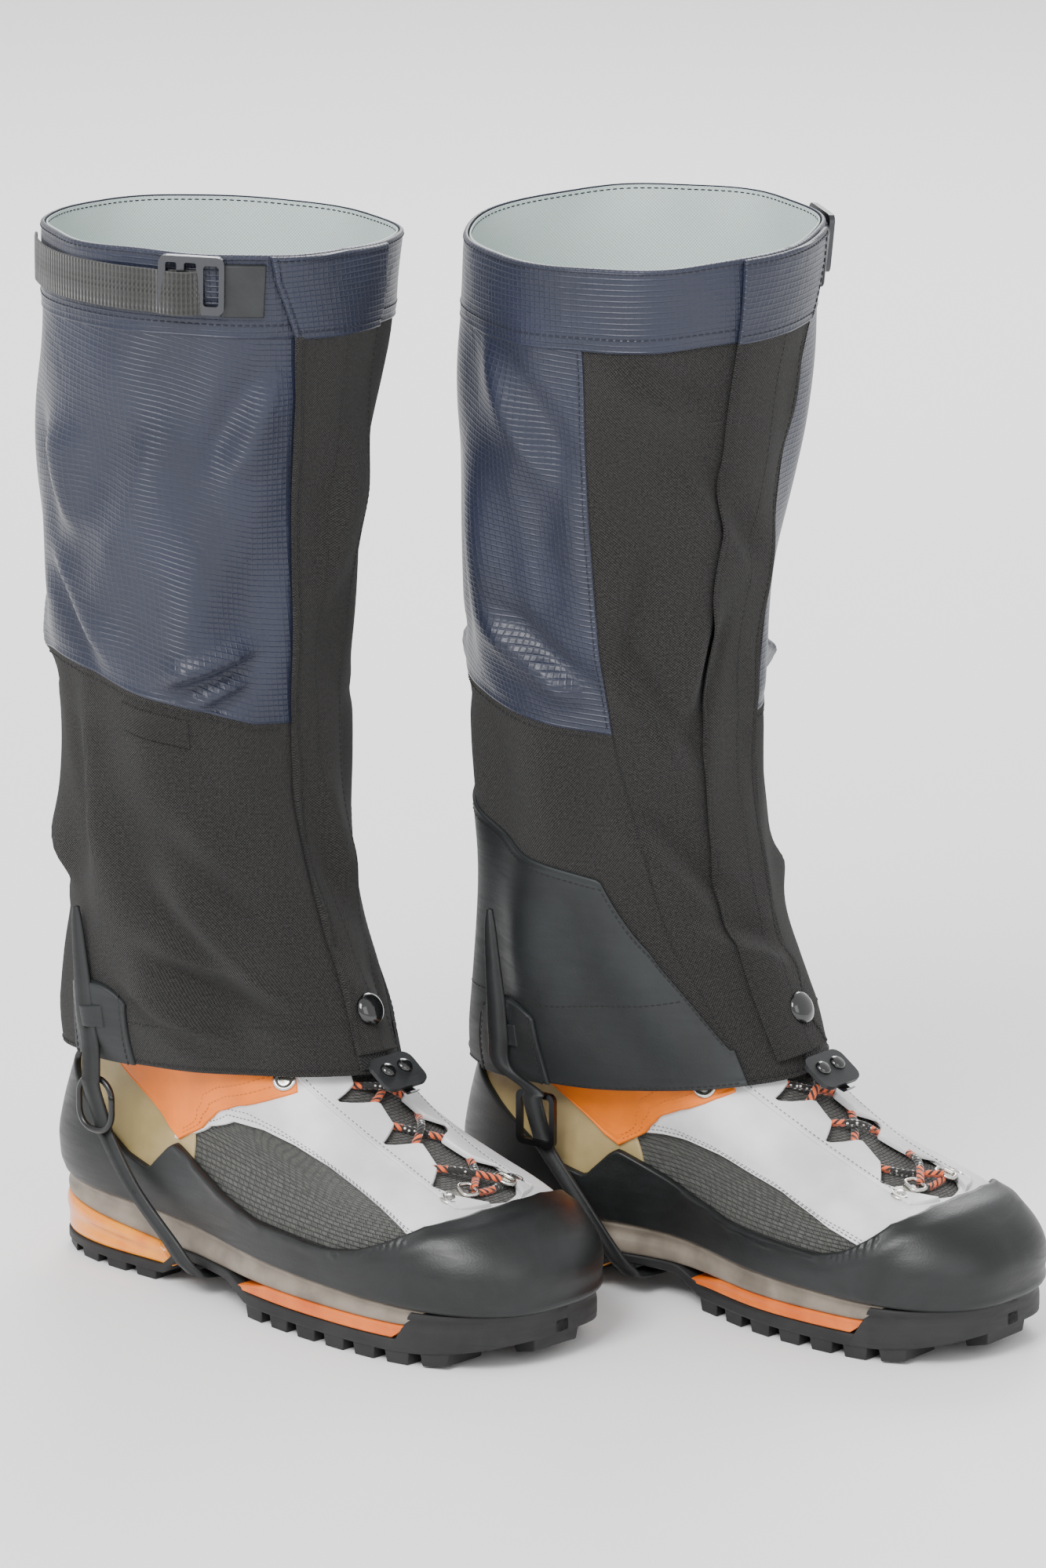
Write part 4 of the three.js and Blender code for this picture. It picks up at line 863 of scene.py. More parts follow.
def build_sole(side, materials, settings):
    """Outsole with its lugs, toe block, heel cushion, forefoot stripe and midsole."""
    body = f"{side}_boot"

    def rise(knots):
        return lambda f: read(knots, f) + toe_lift(f)

    def groove(f, h):
        return 1.0 * bell(h, 0.9, 0.1) - 1.0 * bell(h, 0.62, 0.1) + 0.6 * bell(h, 0.3, 0.2)

    midsole = sole_slab(f"{side}_midsole_shell", side, 0, 259, lambda f: read(MIDSOLE_LOW, f) + toe_lift(f),
                        midsole_top, materials["midsole"], body, groove, slant=(0, 12))
    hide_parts(f"{side}_midsole")

    def cushion(f, h):
        hollow = bell(f, 45, 22) * bell(h, 0.42, 0.16)
        return 1.4 * bell(h, 0.75, 0.25) - 2.0 * hollow + 0.2

    amber = sole_slab(f"{side}_heel_cushion", side, 0, 87, lambda f: 9.3 + 0 * f,
                      lambda f: read(MIDSOLE_LOW, f) - 0.2, materials["amber"], body, cushion, slant=(0, -8))
    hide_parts(f"{side}_heel_insert")
    stripe_top = [[138, 13.2], [165, 18.6], [300, 18.6]]
    stripe = sole_slab(f"{side}_forefoot_stripe", side, 138, 251, lambda f: 12.3 + toe_lift(f),
                       rise(stripe_top), materials["orange_plastic"], body,
                       lambda f, h: 0.5 - 0.4 * bell(h, 0.5, 0.3), slant=(0, 9))
    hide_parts(f"{side}_forefoot_insert")
    base = sole_slab(f"{side}_outsole_shell", side, 0, 301, rise(TREAD), rise(OUTSOLE_TOP), materials["sole"], body,
                     lambda f, h: 0.7 + 0 * f * h)
    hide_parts(f"{side}_outsole")

    def toe_wall(f, h):
        return 0.9 + 1.2 * bell(h, 0.93, 0.09) - 0.9 * bell(h, 0.72, 0.1)

    toe_top = [[240, 26.2], [262, 26.0], [285, 25.4], [301, 24.0]]
    toe = sole_slab(f"{side}_toe_bumper", side, 252, 301, lambda f: 6.5 + toe_lift(f),
                    lambda f: read(toe_top, f) + 0.45 * toe_lift(f), materials["sole"], body, toe_wall, slant=(12, 0))
    blocks = [(40, 34, True, 26, True)]
    for f in np.arange(14, 84, 19.5):
        blocks += [(f, 14.5, True, 18, False), (f, 14.5, False, 18, False)]
    for f in np.arange(156, 284, 18.6):
        blocks += [(f, 13.5, True, 24, False), (f, 13.5, False, 24, False)]
    for f in np.arange(168, 272, 26):
        blocks.append((f, 15, True, 22, True))
    blocks.append((291, 14, True, 30, True))
    points, faces = [], []
    for k, block in enumerate(blocks):
        corners = lug(*block)
        if not block[4] and not block[2]:
            corners = corners[[3, 2, 1, 0, 7, 6, 5, 4]]
        points.append(corners)
        s = 8 * k
        turn = [[3, 2, 1, 0], [4, 5, 6, 7], [0, 1, 5, 4], [1, 2, 6, 5], [2, 3, 7, 6], [3, 0, 4, 7]]
        faces += [[s + i for i in face] for face in turn]
    lugs = add_mesh(f"{side}_tread_lugs", side, np.concatenate(points), faces, materials["sole"], body, smooth=False)
    round_edges(lugs, 0.7)


# ---------------------------------------------------------------- upper
MESH_TOP = {
    "out": [[55, 2.0], [60, 2.3], [64, 3.0], [67, 3.8], [72, 4.55], [80, 4.95], [90, 5.1], [98, 4.9], [108, 4.1],
            [117, 2.7]],
    "inn": [[70, 1.6], [82, 2.2], [88, 2.9], [91, 3.5], [95, 4.1], [101, 4.25], [106, 4.1], [111, 3.8], [118, 2.9]],
}
ORANGE_LOW = [[34, 7.6], [42, 6.95], [48, 6.5], [64, 6.2], [90, 5.65], [100, 5.1], [107, 4.4], [113, 3.4], [117, 2.65],
              [120, 3.5], [124, 4.4], [132, 5.4], [180, 5.8]]
RAND_TOP = [[0, 3.5], [20, 3.4], [40, 3.05], [52, 2.75], [60, 2.4], [70, 1.95], [80, 1.5], [90, 1.2], [98, 1.25],
            [105, 1.6], [111, 2.1], [116.5, 2.62], [118, 2.4], [122, 1.35], [128, 1.6], [138, 2.4], [150, 3.2],
            [163, 3.9], [180, 4.3]]
THROAT = [[0, 3.6], [12, 3.7], [20, 3.85], [27, 3.95], [28.5, 4.9], [33, 5.8], [38, 6.6], [41, 7.3], [48, 6.9],
          [64, 6.55], [90, 6.0], [100, 5.5], [107, 4.8], [113, 3.8], [117.5, 2.95]]
FACING_OUT = [[3.5, 29], [3.94, 30], [4.92, 31], [5.82, 36], [6.58, 42], [7.4, 45]]
FACING_IN = [[3.5, 8], [3.75, 15], [3.95, 21], [4.24, 26.5], [4.3, 26.5], [4.78, 11.5], [5.28, 7.0], [5.33, 9.0],
             [5.38, 26.5], [5.44, 27], [5.78, 11.5], [6.22, 8.5], [6.27, 10.5], [6.33, 30], [6.4, 30.5], [6.72, 14.5],
             [7.2, 9], [7.4, 9]]


def build_upper(side, materials, settings):
    """Leather and mesh panels with their seams, rand, tongue, liner and footbed."""
    body = f"{side}_boot"
    for half, sign, key in (("outer", -1, "out"), ("inner", 1, "inn")):
        mesh = panel(f"{side}_side_mesh_{half}", side, upper,
                     lambda u, v, sign=sign: (sign * (32 + 90 * u), 0.35 + (5.7 - 0.35) * v),
                     -1.6, -0.1, materials["side_mesh"], body, 0.5, 3.0,
                     relief=lambda a, t, p: 0.5 * np.sin(t * 1.1))
        if half == "outer":
            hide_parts(f"{side}_side_mesh")
        low, high = MESH_TOP[key], THROAT

        def main(u, v, sign=sign, low=low, high=high):
            a = 0.01 + 118.0 * u
            start = np.where(a < low[0][0], 1.2, read(low, a))
            return sign * a, start + (np.maximum(read(high, a), start + 0.12) - start) * v

        vamp = panel(f"{side}_vamp_{half}", side, upper, main, 0.0, 1.6, materials["grey_leather"], body, 1.0, 2.2,
                     stitched=("low",), seams=(2.6, 5.2), up_step=2.5)
        if half == "outer":
            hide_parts(f"{side}_vamp")

        def facing(u, v, sign=sign):
            t = 3.55 + (7.35 - 3.55) * v
            outer, inner = read(FACING_OUT, t), read(FACING_IN, t)
            return sign * (outer + (inner - outer) * u), t

        flap = panel(f"{side}_facing_{half}", side, upper, facing, 1.65, 3.0, materials["grey_leather"], body, 0.9, 2.0,
                     stitched=("left",), seams=(2.4,), up_step=0.7,
                     relief=lambda a, t, p: 1.6 * np.clip((24 - np.abs(a)) / 16, 0, 1))
        rows = []
        for shift in (2.6, 5.0):
            s = np.linspace(58, 116, 90)
            inset = shift / 13.0
            rows.append(off(upper, sign * s, read(low, s) + inset, 1.55))
        t = np.linspace(3.75, 7.3, 90)
        for shift in (1.6, -1.6):
            rows.append(off(upper, sign * (read(FACING_OUT, t) - 2.2 + shift), t, 3.0 if shift < 0 else 1.75))
        thread = stitches(f"{side}_vamp_stitches_{half}", side, rows, materials["dark_thread"], body, 2.5, 1.5, 0.26)

    def cuff_spread(u, v):
        a = 36 + 288 * u
        low = read(ORANGE_LOW, np.where(a > 180, 360 - a, a))
        return a, low + (COLLAR - low) * v

    cuff = panel(f"{side}_ankle_panels", side, upper, cuff_spread, 1.6, 3.0, materials["orange_leather"], body, 1.0, 2.6,
                 stitched=("low",), seams=(2.6, 5.0))
    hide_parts(f"{side}_ankle_cuff")
    rows = []
    for sign in (-1, 1):
        for shift in (0.22, 0.42):
            s = np.linspace(46, 115, 90)
            rows.append(off(upper, sign * s, read(ORANGE_LOW, s) + shift, 3.0))
    stitches(f"{side}_ankle_stitches", side, rows, materials["orange_thread"], body, 2.5, 1.6, 0.28)
    khaki = panel(f"{side}_heel_quarter", side, upper,
                  lambda u, v: (113 + 134 * u, 0.4 + 6.0 * v), 0.2, 1.4, materials["khaki_leather"], body, 0.8, 3.0)
    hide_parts(f"{side}_heel_panel")

    def rand_spread(u, v):
        a = 360 * u
        high = read(RAND_TOP, np.where(a > 180, 360 - a, a))
        return a, 0.02 + (high - 0.02) * v

    def rand_relief(a, t, p):
        fold = np.abs((a + 180) % 360 - 180)
        high = read(RAND_TOP, fold)
        f = -p[..., 1]
        grip = np.where((fold > 62) & (fold < 117), 0.35, 0.0) * bell(t, high - 0.17, 0.12) * (
            1 + np.sign(np.sin(f * 2.1)))
        lip = 1.6 * bell(t, 0.32, 0.16) * np.clip((f - 235) / 40, 0, 1)
        band = 0.8 * bell(t, high - 0.55, 0.25) * np.clip((f - 215) / 30, 0, 1)
        heel = 0.6 * bell(t, 0.5, 0.2) * np.clip((60 - f) / 40, 0, 1)
        return grip + lip + band + heel

    rand = panel(f"{side}_rand", side, upper, rand_spread, 1.6, 4.4, materials["rand"], body, 1.6, 1.6, closed=True,
                 relief=rand_relief, up_step=1.8)
    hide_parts(f"{side}_rubber_rand")
    tongue = panel(f"{side}_tongue_pad", side, upper, lambda u, v: (-42 + 84 * u, 3.2 + (8.95 - 3.2) * v),
                   -4.2, -1.6, materials["tongue_mesh"], body, 1.5, 3.0,
                   relief=lambda a, t, p: 0.9 * np.cos(np.radians(a * 2.0)))
    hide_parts(f"{side}_tongue")
    lining = panel(f"{side}_boot_liner", side, upper, lambda u, v: (360 * u, 0.8 + (8.9 - 0.8) * v),
                   -8.6, -5.8, materials["boot_lining"], body, 1.5, 5.0, closed=True)
    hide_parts(f"{side}_liner")
    collar = panel(f"{side}_collar_pad", side, upper, lambda u, v: (360 * u, 8.35 + 0.64 * v), -6.0, 1.8,
                   materials["boot_lining"], body, 3.0, 5.0, closed=True)
    bed = sole_slab(f"{side}_footbed_pad", side, 20, 276, lambda f: midsole_top(f) + 1, lambda f: midsole_top(f) + 7.5,
                    materials["felt"], body, inset=14)
    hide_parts(f"{side}_footbed")


def build_lacing(side, materials, settings):
    """Two crossing strands of lace with rings, rivets and eyelets."""
    body = f"{side}_boot"
    lift = 2.2
    left = [(-9, 4.02, 2.2), (18, 4.9, 0.6), (21, 5.05, 0.2), (21, 5.2, 0.2), (13, 5.3, 1.0), (-12, 5.85, 0.6),
            (-21, 6.0, 0.2), (-21, 6.12, 0.2), (-14, 6.25, 1.0), (14, 6.75, 0.6), (22, 6.95, 0.2), (18, 7.2, 0.4)]
    lines = []
    for mirror, over in ((1, 0.0), (-1, 3.3)):
        points = []
        for k, (angle, t, low) in enumerate(left):
            points.append(off(upper, np.array([mirror * angle]), np.array([t]), lift * low - 0.3)[0])
            if k in (0, 4, 8):
                a2, t2, _ = left[k + 1]
                points.append(off(upper, np.array([mirror * (angle + a2) / 2]), np.array([(t + t2) / 2]),
                                  1.9 + over)[0])
        lines.append(points)
    toe = [off(upper, np.array([a]), np.array([4.0]), h)[0] for a, h in ((-9, 1.9), (0, 0.9), (9, 1.9))]
    for k, line in enumerate(lines + [toe]):
        cord = tube(f"{side}_lace_strand_{k + 1}", side, curve(line, 12), settings.lace_radius * 1000, materials["lace"], body, 12, 0.6,
                    relief=lambda s, a: 0.12 * np.sin(s * 3.2 + a) * np.sin(s * 3.2 - a))
        if k == 0:
            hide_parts(f"{side}_lace")
    for half, sign in (("outer", -1), ("inner", 1)):
        seat = basis_on(upper, None, sign * 24, 3.92, 1.8)
        rivet = turned(f"{side}_lace_ring_rivet_{half}", side, seat,
                       [(5.2, 0), (5.2, 0.5), (4.6, 1.0), (3.4, 1.25), (3.1, 1.0), (2.6, 1.15), (1.2, 1.6), (0.05, 1.7)],
                       materials["silver"], body)
        origin, along, up, out = basis_on(upper, None, sign * 19, 3.97, 2.1)
        tab = prism(f"{side}_lace_ring_plate_{half}", side, (origin, along, up, out), ring_outline(11, 7, 1.5), 0.9,
                    materials["silver"], body, 0.25)
        centre, along, up, out = basis_on(upper, None, sign * 12.5, 4.02, 3.6)
        loop = [centre + along * x + up * y + out * 0.4 for x, y in
                ring_outline(7.5, 9, 2.6) + ring_outline(7.5, 9, 2.6)[:2]]
        hoop = tube(f"{side}_lace_ring_{half}", side, np.array(loop), 0.95, materials["silver"], body, 10, 0.7)
        eyelet = turned(f"{side}_ankle_eyelet_{half}", side,
                        basis_on(upper, None, -50 if sign < 0 else 62, 6.75 if sign < 0 else 6.5, 3.1),
                        [(5.6, 0), (5.5, 0.5), (4.9, 1.0), (4.0, 0.9), (3.5, 0.3), (2.6, 0.25), (1.2, 0.5), (0.05, 0.6)],
                        materials["silver"], body)


# ---------------------------------------------------------------- gaiter
# The seam under the navy cloth is higher at the back than in front: millimetres over the angle.
SEAM_SLOPE = [[-180, 13], [-120, 16], [-60, 3], [-25, -7], [0, -8], [45, -7], [80, -2], [120, 6], [180, 13]]
FRONT_UNDER = 3.0
FRONT_RIGHT = [[0, 34], [4, 50], [5, 58], [9.2, 76], [10, 80]]
FLAP_EDGE = [[0, -13], [1.5, -10], [3, -8], [5, -9], [7, -13], [9, -20], [9.6, -28], [10, -30]]
FLAP_SEAM = 19.0


def seam_at(angle):
    """The ring of the seam under the navy cloth."""
    return SEAM + read(SEAM_SLOPE, (angle + 180) % 360 - 180) / 46


def build_gaiter(side, materials, settings):
    """The cloth tube: black front and lower panels, navy upper panel, hem band, pale back and tag."""
    body = f"{side}_boot"
    hem = HEM
    near = [[t, a + FRONT_UNDER] for t, a in FLAP_EDGE]
    far = [[t, 360 + a + FRONT_UNDER + 1] for t, a in FLAP_EDGE]
    front = panel(f"{side}_front_cloth", side, gaiter, slanted(0.0, hem - 0.02, near, FRONT_RIGHT), -1.2, 0.0,
                  materials["cordura"], body, 0.8, 3.0, stitched=("right", "low"))
    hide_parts(f"{side}_gaiter_front_panel")
    past = [[t, a - 2.5] for t, a in FRONT_RIGHT]
    lower = panel(f"{side}_lower_cloth", side, gaiter, slanted(0.0, lambda a: seam_at(a) + 0.05, past, far), -0.8, 0.35,
                  materials["cordura"], body, 0.8, 3.0, stitched=("low",))
    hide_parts(f"{side}_gaiter_lower_panel")
    shell = panel(f"{side}_upper_cloth", side, gaiter, slanted(seam_at, hem + 0.02, past, far), -0.5,
                  0.75, materials["ripstop"], body, 0.8, 3.0, stitched=("low",), seams=(3.0, 22.0))
    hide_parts(f"{side}_gaiter_upper_panel")
    band = panel(f"{side}_top_hem", side, gaiter, lambda u, v: (360 * u, hem - 0.03 + (RIM - hem + 0.03) * v), -0.5, 1.25,
                 materials["ripstop"], body, 1.2, 3.0, closed=True, stitched=("low", "high"))
    lining = panel(f"{side}_cloth_back", side, gaiter, lambda u, v: (360 * u, 0.25 + (9.98 - 0.25) * v), -2.0, -1.3,
                   materials["lining"], body, 0.5, 4.0, closed=True)
    rows = []
    a = np.linspace(-34, 326, 400)
    for level in (gaiter_level(90, 455) + 0.06, RIM - 0.09):
        rows.append(off(gaiter, a, level, 1.3, side))
    rows.append(off(gaiter, a, RIM - 0.09, -2.0, side))
    t = np.linspace(SEAM, hem, 90)
    rows.append(off(gaiter, read(past, t) + 1.8, t, 0.8, side))
    stitches(f"{side}_navy_stitches", side, rows, materials["navy_thread"], body, 3.2, 2.3, 0.34)
    rows = []
    t = np.linspace(0.1, hem, 160)
    rows.append(off(gaiter, read(FRONT_RIGHT, t) - 2.6, t, 0.05, side))
    a = np.linspace(-8, 350, 360)
    rows.append(off(gaiter, a, 0.2, 0.5, side))
    rows.append(off(gaiter, np.linspace(264, 350, 120), 1.15, 0.45, side))
    a = np.linspace(60, 345, 300)
    rows.append(off(gaiter, a, seam_at(a) - 0.06, 0.5, side))
    stitches(f"{side}_black_stitches", side, rows, materials["black_thread"], body, 3.0, 2.1, 0.32)
    tag = panel(f"{side}_blank_tag", side, gaiter, lambda u, v: (-79 + 27 * u, seam_at(-79 + 27 * u) - 0.42 + 0.28 * v), 0.5, 1.5,
                materials["flap_cloth"], body, 0.4, 2.0)


KICK_TOP = [[36, 0.9], [44, 1.9], [52, 2.9], [66, 3.75], [100, 3.95], [148, 4.4]]


def build_patches(side, materials, settings):
    """Rubber patches with keepers and stitching, the buckle catch and the hook tape."""
    body = f"{side}_boot"

    def kick_spread(u, v):
        a = 34 + 112 * u
        return a, 0.02 + (read(KICK_TOP, a) - 0.02) * v

    kick = panel(f"{side}_kick_guard", side, gaiter, kick_spread, 0.5, 2.0, materials["patch"], body, 0.9, 3.0,
                 stitched=("low", "high"))
    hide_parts(f"{side}_kick_patch")
    rows = []
    a = np.linspace(38, 145, 150)
    for level in (0.16, 1.95):
        s = a if level < 1 else np.linspace(48, 145, 130)
        rows.append(off(gaiter, s, level, 2.0, side))
    rows.append(off(gaiter, a, read(KICK_TOP, a) - 0.1, 2.0, side))
    anchors = {"outer": (233, 264, 0.45), "inner": (100, 131, 2.1)}
    for name, (start, end, base) in anchors.items():
        node_name = f"{side}_anchor_patch_{name}"

        def anchor_spread(u, v, start=start, end=end):
            a = start + (end - start) * u
            top = 1.95 - 0.5 * np.abs(u - 0.45) ** 2.5 * 4
            return a, top * v

        patch = panel(f"{side}_anchor_{name}", side, gaiter, anchor_spread, base, base + 1.6, materials["patch"], body,
                      0.9, 2.5, stitched=("left", "right"),
                      relief=lambda a, t, p, s=start, e=end: 2.2 * bell(a, (s + e) / 2, 9) * np.clip(t / 1.2, 0, 1))
        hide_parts(node_name)
        t = np.linspace(0.1, 1.7, 40)
        edge = end - 2.2 if name == "outer" else start + 2.2
        rows.append(off(gaiter, 0 * t + edge, t, base + 1.65, side))
        other = start + 2.2 if name == "outer" else end - 2.2
        rows.append(off(gaiter, 0 * t + other, t, base + 1.65, side))
        middle = 249 if name == "outer" else 115.0
        keeper = panel(f"{side}_strap_keeper_{name}", side, gaiter,
                       lambda u, v, m=middle: (m - 6.5 + 13 * u, 1.0 + 0.5 * v), base + 1.5, base + 3.2,
                       materials["patch"], body, 0.8, 1.5,
                       relief=lambda a, t, p, m=middle: 2.8 * bell(a, m, 4.0))
    stitches(f"{side}_patch_stitches", side, rows, materials["black_thread"], body, 2.9, 2.1, 0.32)
    tab = panel(f"{side}_buckle_catch", side, gaiter,
                lambda u, v: (-45 + 14 * u, gaiter_level(-38, 468) + 0.62 * v), 1.2, 3.6, materials["tab"], body, 1.2, 2.0)
    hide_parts(f"{side}_buckle_tab")
    low, high = [[t, a + 1.0] for t, a in FLAP_EDGE], [[t, a + 17] for t, a in FLAP_EDGE]
    hooks = panel(f"{side}_hook_tape", side, gaiter, slanted(0.15, 9.6, low, high), 0.0, 1.6, materials["hook_tape"], body,
                  0.5, 3.0)
    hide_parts(f"{side}_hook_strip")


def build_flap(side, materials, settings):
    """The front flap, with its hem and snap, and the rivets of the lace catch. Only the snap rides on the flap's body.
    """
    boot, flap = f"{side}_boot", f"{side}_flap_panel"
    mirror = SIDES[side]["mirror"]

    def bend(made):
        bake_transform(made)
        return made

    start = gaiter_level(-1, 122)

    def lifted(a, t, p):
        edge = read(FLAP_EDGE, t)
        return 1.4 * np.exp(-((a - edge) / 5) ** 2) * np.sin(t * 4.2 + mirror) + 0.5 * np.sin(t * 5 + a * 0.12)

    cloth = panel(f"{side}_flap_cloth", side, gaiter, slanted(start, HEM + 0.02, FLAP_EDGE, FLAP_SEAM), 2.4, 3.7,
                  materials["flap_cloth"], None, 0.9, 2.5, stitched=("left", "low"), relief=lifted)
    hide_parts(f"{side}_front_flap")
    bend(cloth)
    band = panel(f"{side}_flap_hem", side, gaiter, slanted(HEM - 0.03, RIM, FLAP_EDGE, FLAP_SEAM), 2.3, 4.2,
                 materials["ripstop"], None, 1.2, 2.5, stitched=("left", "low", "high"))
    bend(band)
    t = np.linspace(start + 0.1, HEM - 0.05, 180)
    rows = [off(gaiter, read(FLAP_EDGE, t) + 2.6, t, 3.75 + lifted(read(FLAP_EDGE, t) + 2.6, t, None), side)]
    rows.append(off(gaiter, read(FLAP_EDGE, t) * 0.2 + 3.5, t, 3.75 + lifted(read(FLAP_EDGE, t) * 0.2 + 3.5, t, None), side))
    rows.append(off(gaiter, 0 * t + 17.0, t, 3.75 + lifted(0 * t + 17.0, t, None), side))
    bend(stitches(f"{side}_flap_stitches", side, rows, materials["black_thread"], None, 3.0, 2.1, 0.34))
    rows = []
    for level in (HEM + 0.07, RIM - 0.1):
        a = np.linspace(float(read(FLAP_EDGE, level)) + 2, 18, 40)
        rows.append(off(gaiter, a, level, 4.25, side))
    t = np.linspace(HEM + 0.05, RIM - 0.08, 16)
    rows.append(off(gaiter, read(FLAP_EDGE, t) + 2.0, t, 4.25, side))
    bend(stitches(f"{side}_flap_hem_stitches", side, rows, materials["navy_thread"], None, 3.0, 2.2, 0.34))
    level = gaiter_level(-1, 140)
    seat = basis_on(gaiter, side, -1, level, 3.6)
    cap = turned(f"{side}_snap_button", side, seat,
                 [(7.6, 0), (7.7, 0.7), (7.2, 1.7), (6.0, 2.7), (4.3, 3.4), (2.2, 3.8), (0.05, 3.9)],
                 materials["enamel"], flap, 36)
    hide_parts(f"{side}_snap_cap")
    catch = f"{side}_lace_catch"
    top = off(gaiter, np.array([0.0]), np.array([gaiter_level(0, 119)]), 4.0)[0]
    lean = math.radians(36)
    along, up, out = (np.array([1.0, 0, 0]), np.array([0, math.cos(lean), math.sin(lean)]),
                      np.array([0, -math.sin(lean), math.cos(lean)]))
    for k, x in enumerate((-5.4, 5.4)):
        rivet = turned(f"{side}_tab_rivet_{k + 1}", side, (top + along * x - up * 8 + out * 2.0, along, up, out),
                       [(3.9, 0), (3.9, 0.6), (3.4, 1.4), (2.3, 2.0), (0.05, 2.3)], materials["enamel"], catch, 24)


def ribbon(name, side, stations, thickness, material, body, per=8):
    """A flat strap with rounded edges through stations of (centre, across, out, width)."""
    centres = curve([s[0] for s in stations], per)
    across = curve([s[1] for s in stations], per)
    outs = curve([s[2] for s in stations], per)
    widths = curve([[s[3], 0, 0] for s in stations], per)[:, 0]
    across /= np.linalg.norm(across, axis=1, keepdims=True)
    outs -= across * (outs * across).sum(1, keepdims=True)
    outs /= np.linalg.norm(outs, axis=1, keepdims=True)
    outline = ring_outline(1, 1, 0.5, 4)
    rings = []
    for x, y in outline:
        aside = np.sign(round(x, 9)) * (widths / 2 - thickness / 2) + x * thickness
        rings.append(centres + across * aside[:, None] + outs * (0.5 + y) * thickness)
    rings = np.stack(rings, 1)
    count, size = rings.shape[:2]
    faces = []
    for i in range(count - 1):
        for j in range(size):
            a, b = i * size + j, i * size + (j + 1) % size
            faces.append([a, b, b + size, a + size])
    faces += [list(range(size))[::-1], [(count - 1) * size + j for j in range(size)]]
    length = np.concatenate([[0], np.cumsum(np.linalg.norm(np.diff(centres, axis=0), axis=1))])
    uv = np.stack([np.broadcast_to(length[:, None], (count, size)),
                   np.broadcast_to(np.array([p[0] for p in outline])[None] * 20, (count, size))], -1)
    made = add_mesh(name, side, rings.reshape(-1, 3), faces, material, body, uv.reshape(-1, 2))
    return made


RINGS = {"outer": (57.0, -53.0, 84.0), "inner": (70.0, 53.5, 82.0)}


def strap_stations(f, m, z, angle, top, lift):
    """One end of the foot strap, from its tip down through its ring."""
    sign = math.copysign(1, m)
    across = np.array([0, -1.0, 0])
    out = np.array([sign, 0, 0.0])
    stations = []
    for share in (0, 0.08, 0.25, 0.5, 0.75, 1):
        t = top + (0.55 - top) * share
        centre = off(gaiter, np.array([angle]), np.array([t]), lift)[0]
        stations.append((centre, across, out, 11 * min(1, 0.3 + 0.9 * share ** 0.5)))
    for at, mm, height in ((f, abs(m) + 1.5, z + 14), (f, abs(m) + 1.5, z + 9.2),
                           (f + 1, abs(m) - 4.1, z - 8.2), (f + 4, abs(m) - 4.1, z - 15)):
        stations.append((np.array([sign * mm, -at, height]), across, out, 11))
    return stations


def build_straps(side, materials, settings):
    """Top strap and buckle, foot strap, its rings and holes."""
    boot, strap = f"{side}_boot", f"{side}_strap"
    stations = []
    for angle, lift in ((-138.5, 1.7), (-128, 1.7), (-112, 1.8), (-96, 1.8), (-80, 1.9), (-68, 2.1), (-63.5, 4.6), (-60, 6.2),
                        (-56.5, 6.4), (-53.5, 5.2), (-51.5, 2.6), (-54, 1.6), (-62, 1.4)):
        t = gaiter_level(angle, 484)
        centre = off(gaiter, np.array([angle]), np.array([t]), lift + 0.6)[0]
        centre[2] = 480
        stations.append((centre, np.array([0, 0, 1.0]), basis_on(gaiter, None, angle, t, 0)[3], 20))
    web = ribbon(f"{side}_top_webbing", side, stations, 1.5, materials["webbing"], strap)
    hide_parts(f"{side}_top_strap")
    under = 15 - 2.6 - 1.6
    across = np.array([0, -1.0, 0])

    def stop(f, m, z, out):
        return (np.array([m, -f, z]), across, np.array(out, float), 11)

    ends = {"outer": strap_stations(*RINGS["outer"], -112, 3.1, 3.5), "inner": strap_stations(*RINGS["inner"], 115, 3.3, 6.0)}
    middle = [stop(77, -49, 48, [-1, 0, -0.1]), stop(100, -48, 27, [-1, 0, -0.3]),
              stop(110, -45.5, under + 5, [-0.7, 0, -1]), stop(112, -33, under, [0, 0, -1]),
              stop(112, 27, under, [0, 0, -1]), stop(110, 38, under + 5, [0.7, 0, -1]),
              stop(104, 44, 27, [1, 0, -0.3]), stop(90, 48.5, 48, [1, 0, -0.1])]
    foot = ribbon(f"{side}_instep_strap", side, ends["outer"] + middle + ends["inner"][::-1], 2.4,
                  materials["strap_rubber"], boot)
    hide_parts(f"{side}_foot_strap")
    f, m, z = RINGS["outer"]
    loop = [np.array([m, -(f + x), z + y]) for x, y in ring_outline(21, 25, 9) + ring_outline(21, 25, 9)[:2]]
    oval = tube(f"{side}_oval_ring", side, np.array(loop), 1.5, materials["ring_nylon"], boot, 14, 0.9,
                up=[[1.0, 0, 0]])
    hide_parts(f"{side}_strap_ring_outer")
    dress_node(f"{side}_strap_ring_inner", materials["dark_steel"], 0.5)
    dress_node(f"{side}_top_buckle", materials["dark_steel"], 0.6)
    dress_node(f"{side}_lace_hook_tab", materials["tab"], 0.6)
    dress_node(f"{side}_lace_hook", materials["black_metal"], 0.35)
    holes = []
    for station, nxt in zip(middle[:2], middle[1:3]):
        for part in (0.1, 0.55):
            holes.append((station[0] * (1 - part) + nxt[0] * part, station[2]))
    for k, (centre, out) in enumerate(holes):
        out = out / np.linalg.norm(out)
        along = np.array([0, -1.0, 0])
        made = turned(f"{side}_strap_hole_{k + 1}", side, (centre + out * 2.3, along, np.cross(out, along), out),
                      [(1.5, 0), (1.5, 0.18), (1.2, 0.22), (1.0, 0.05), (0.05, 0.05)], materials["sole"], boot, 16)


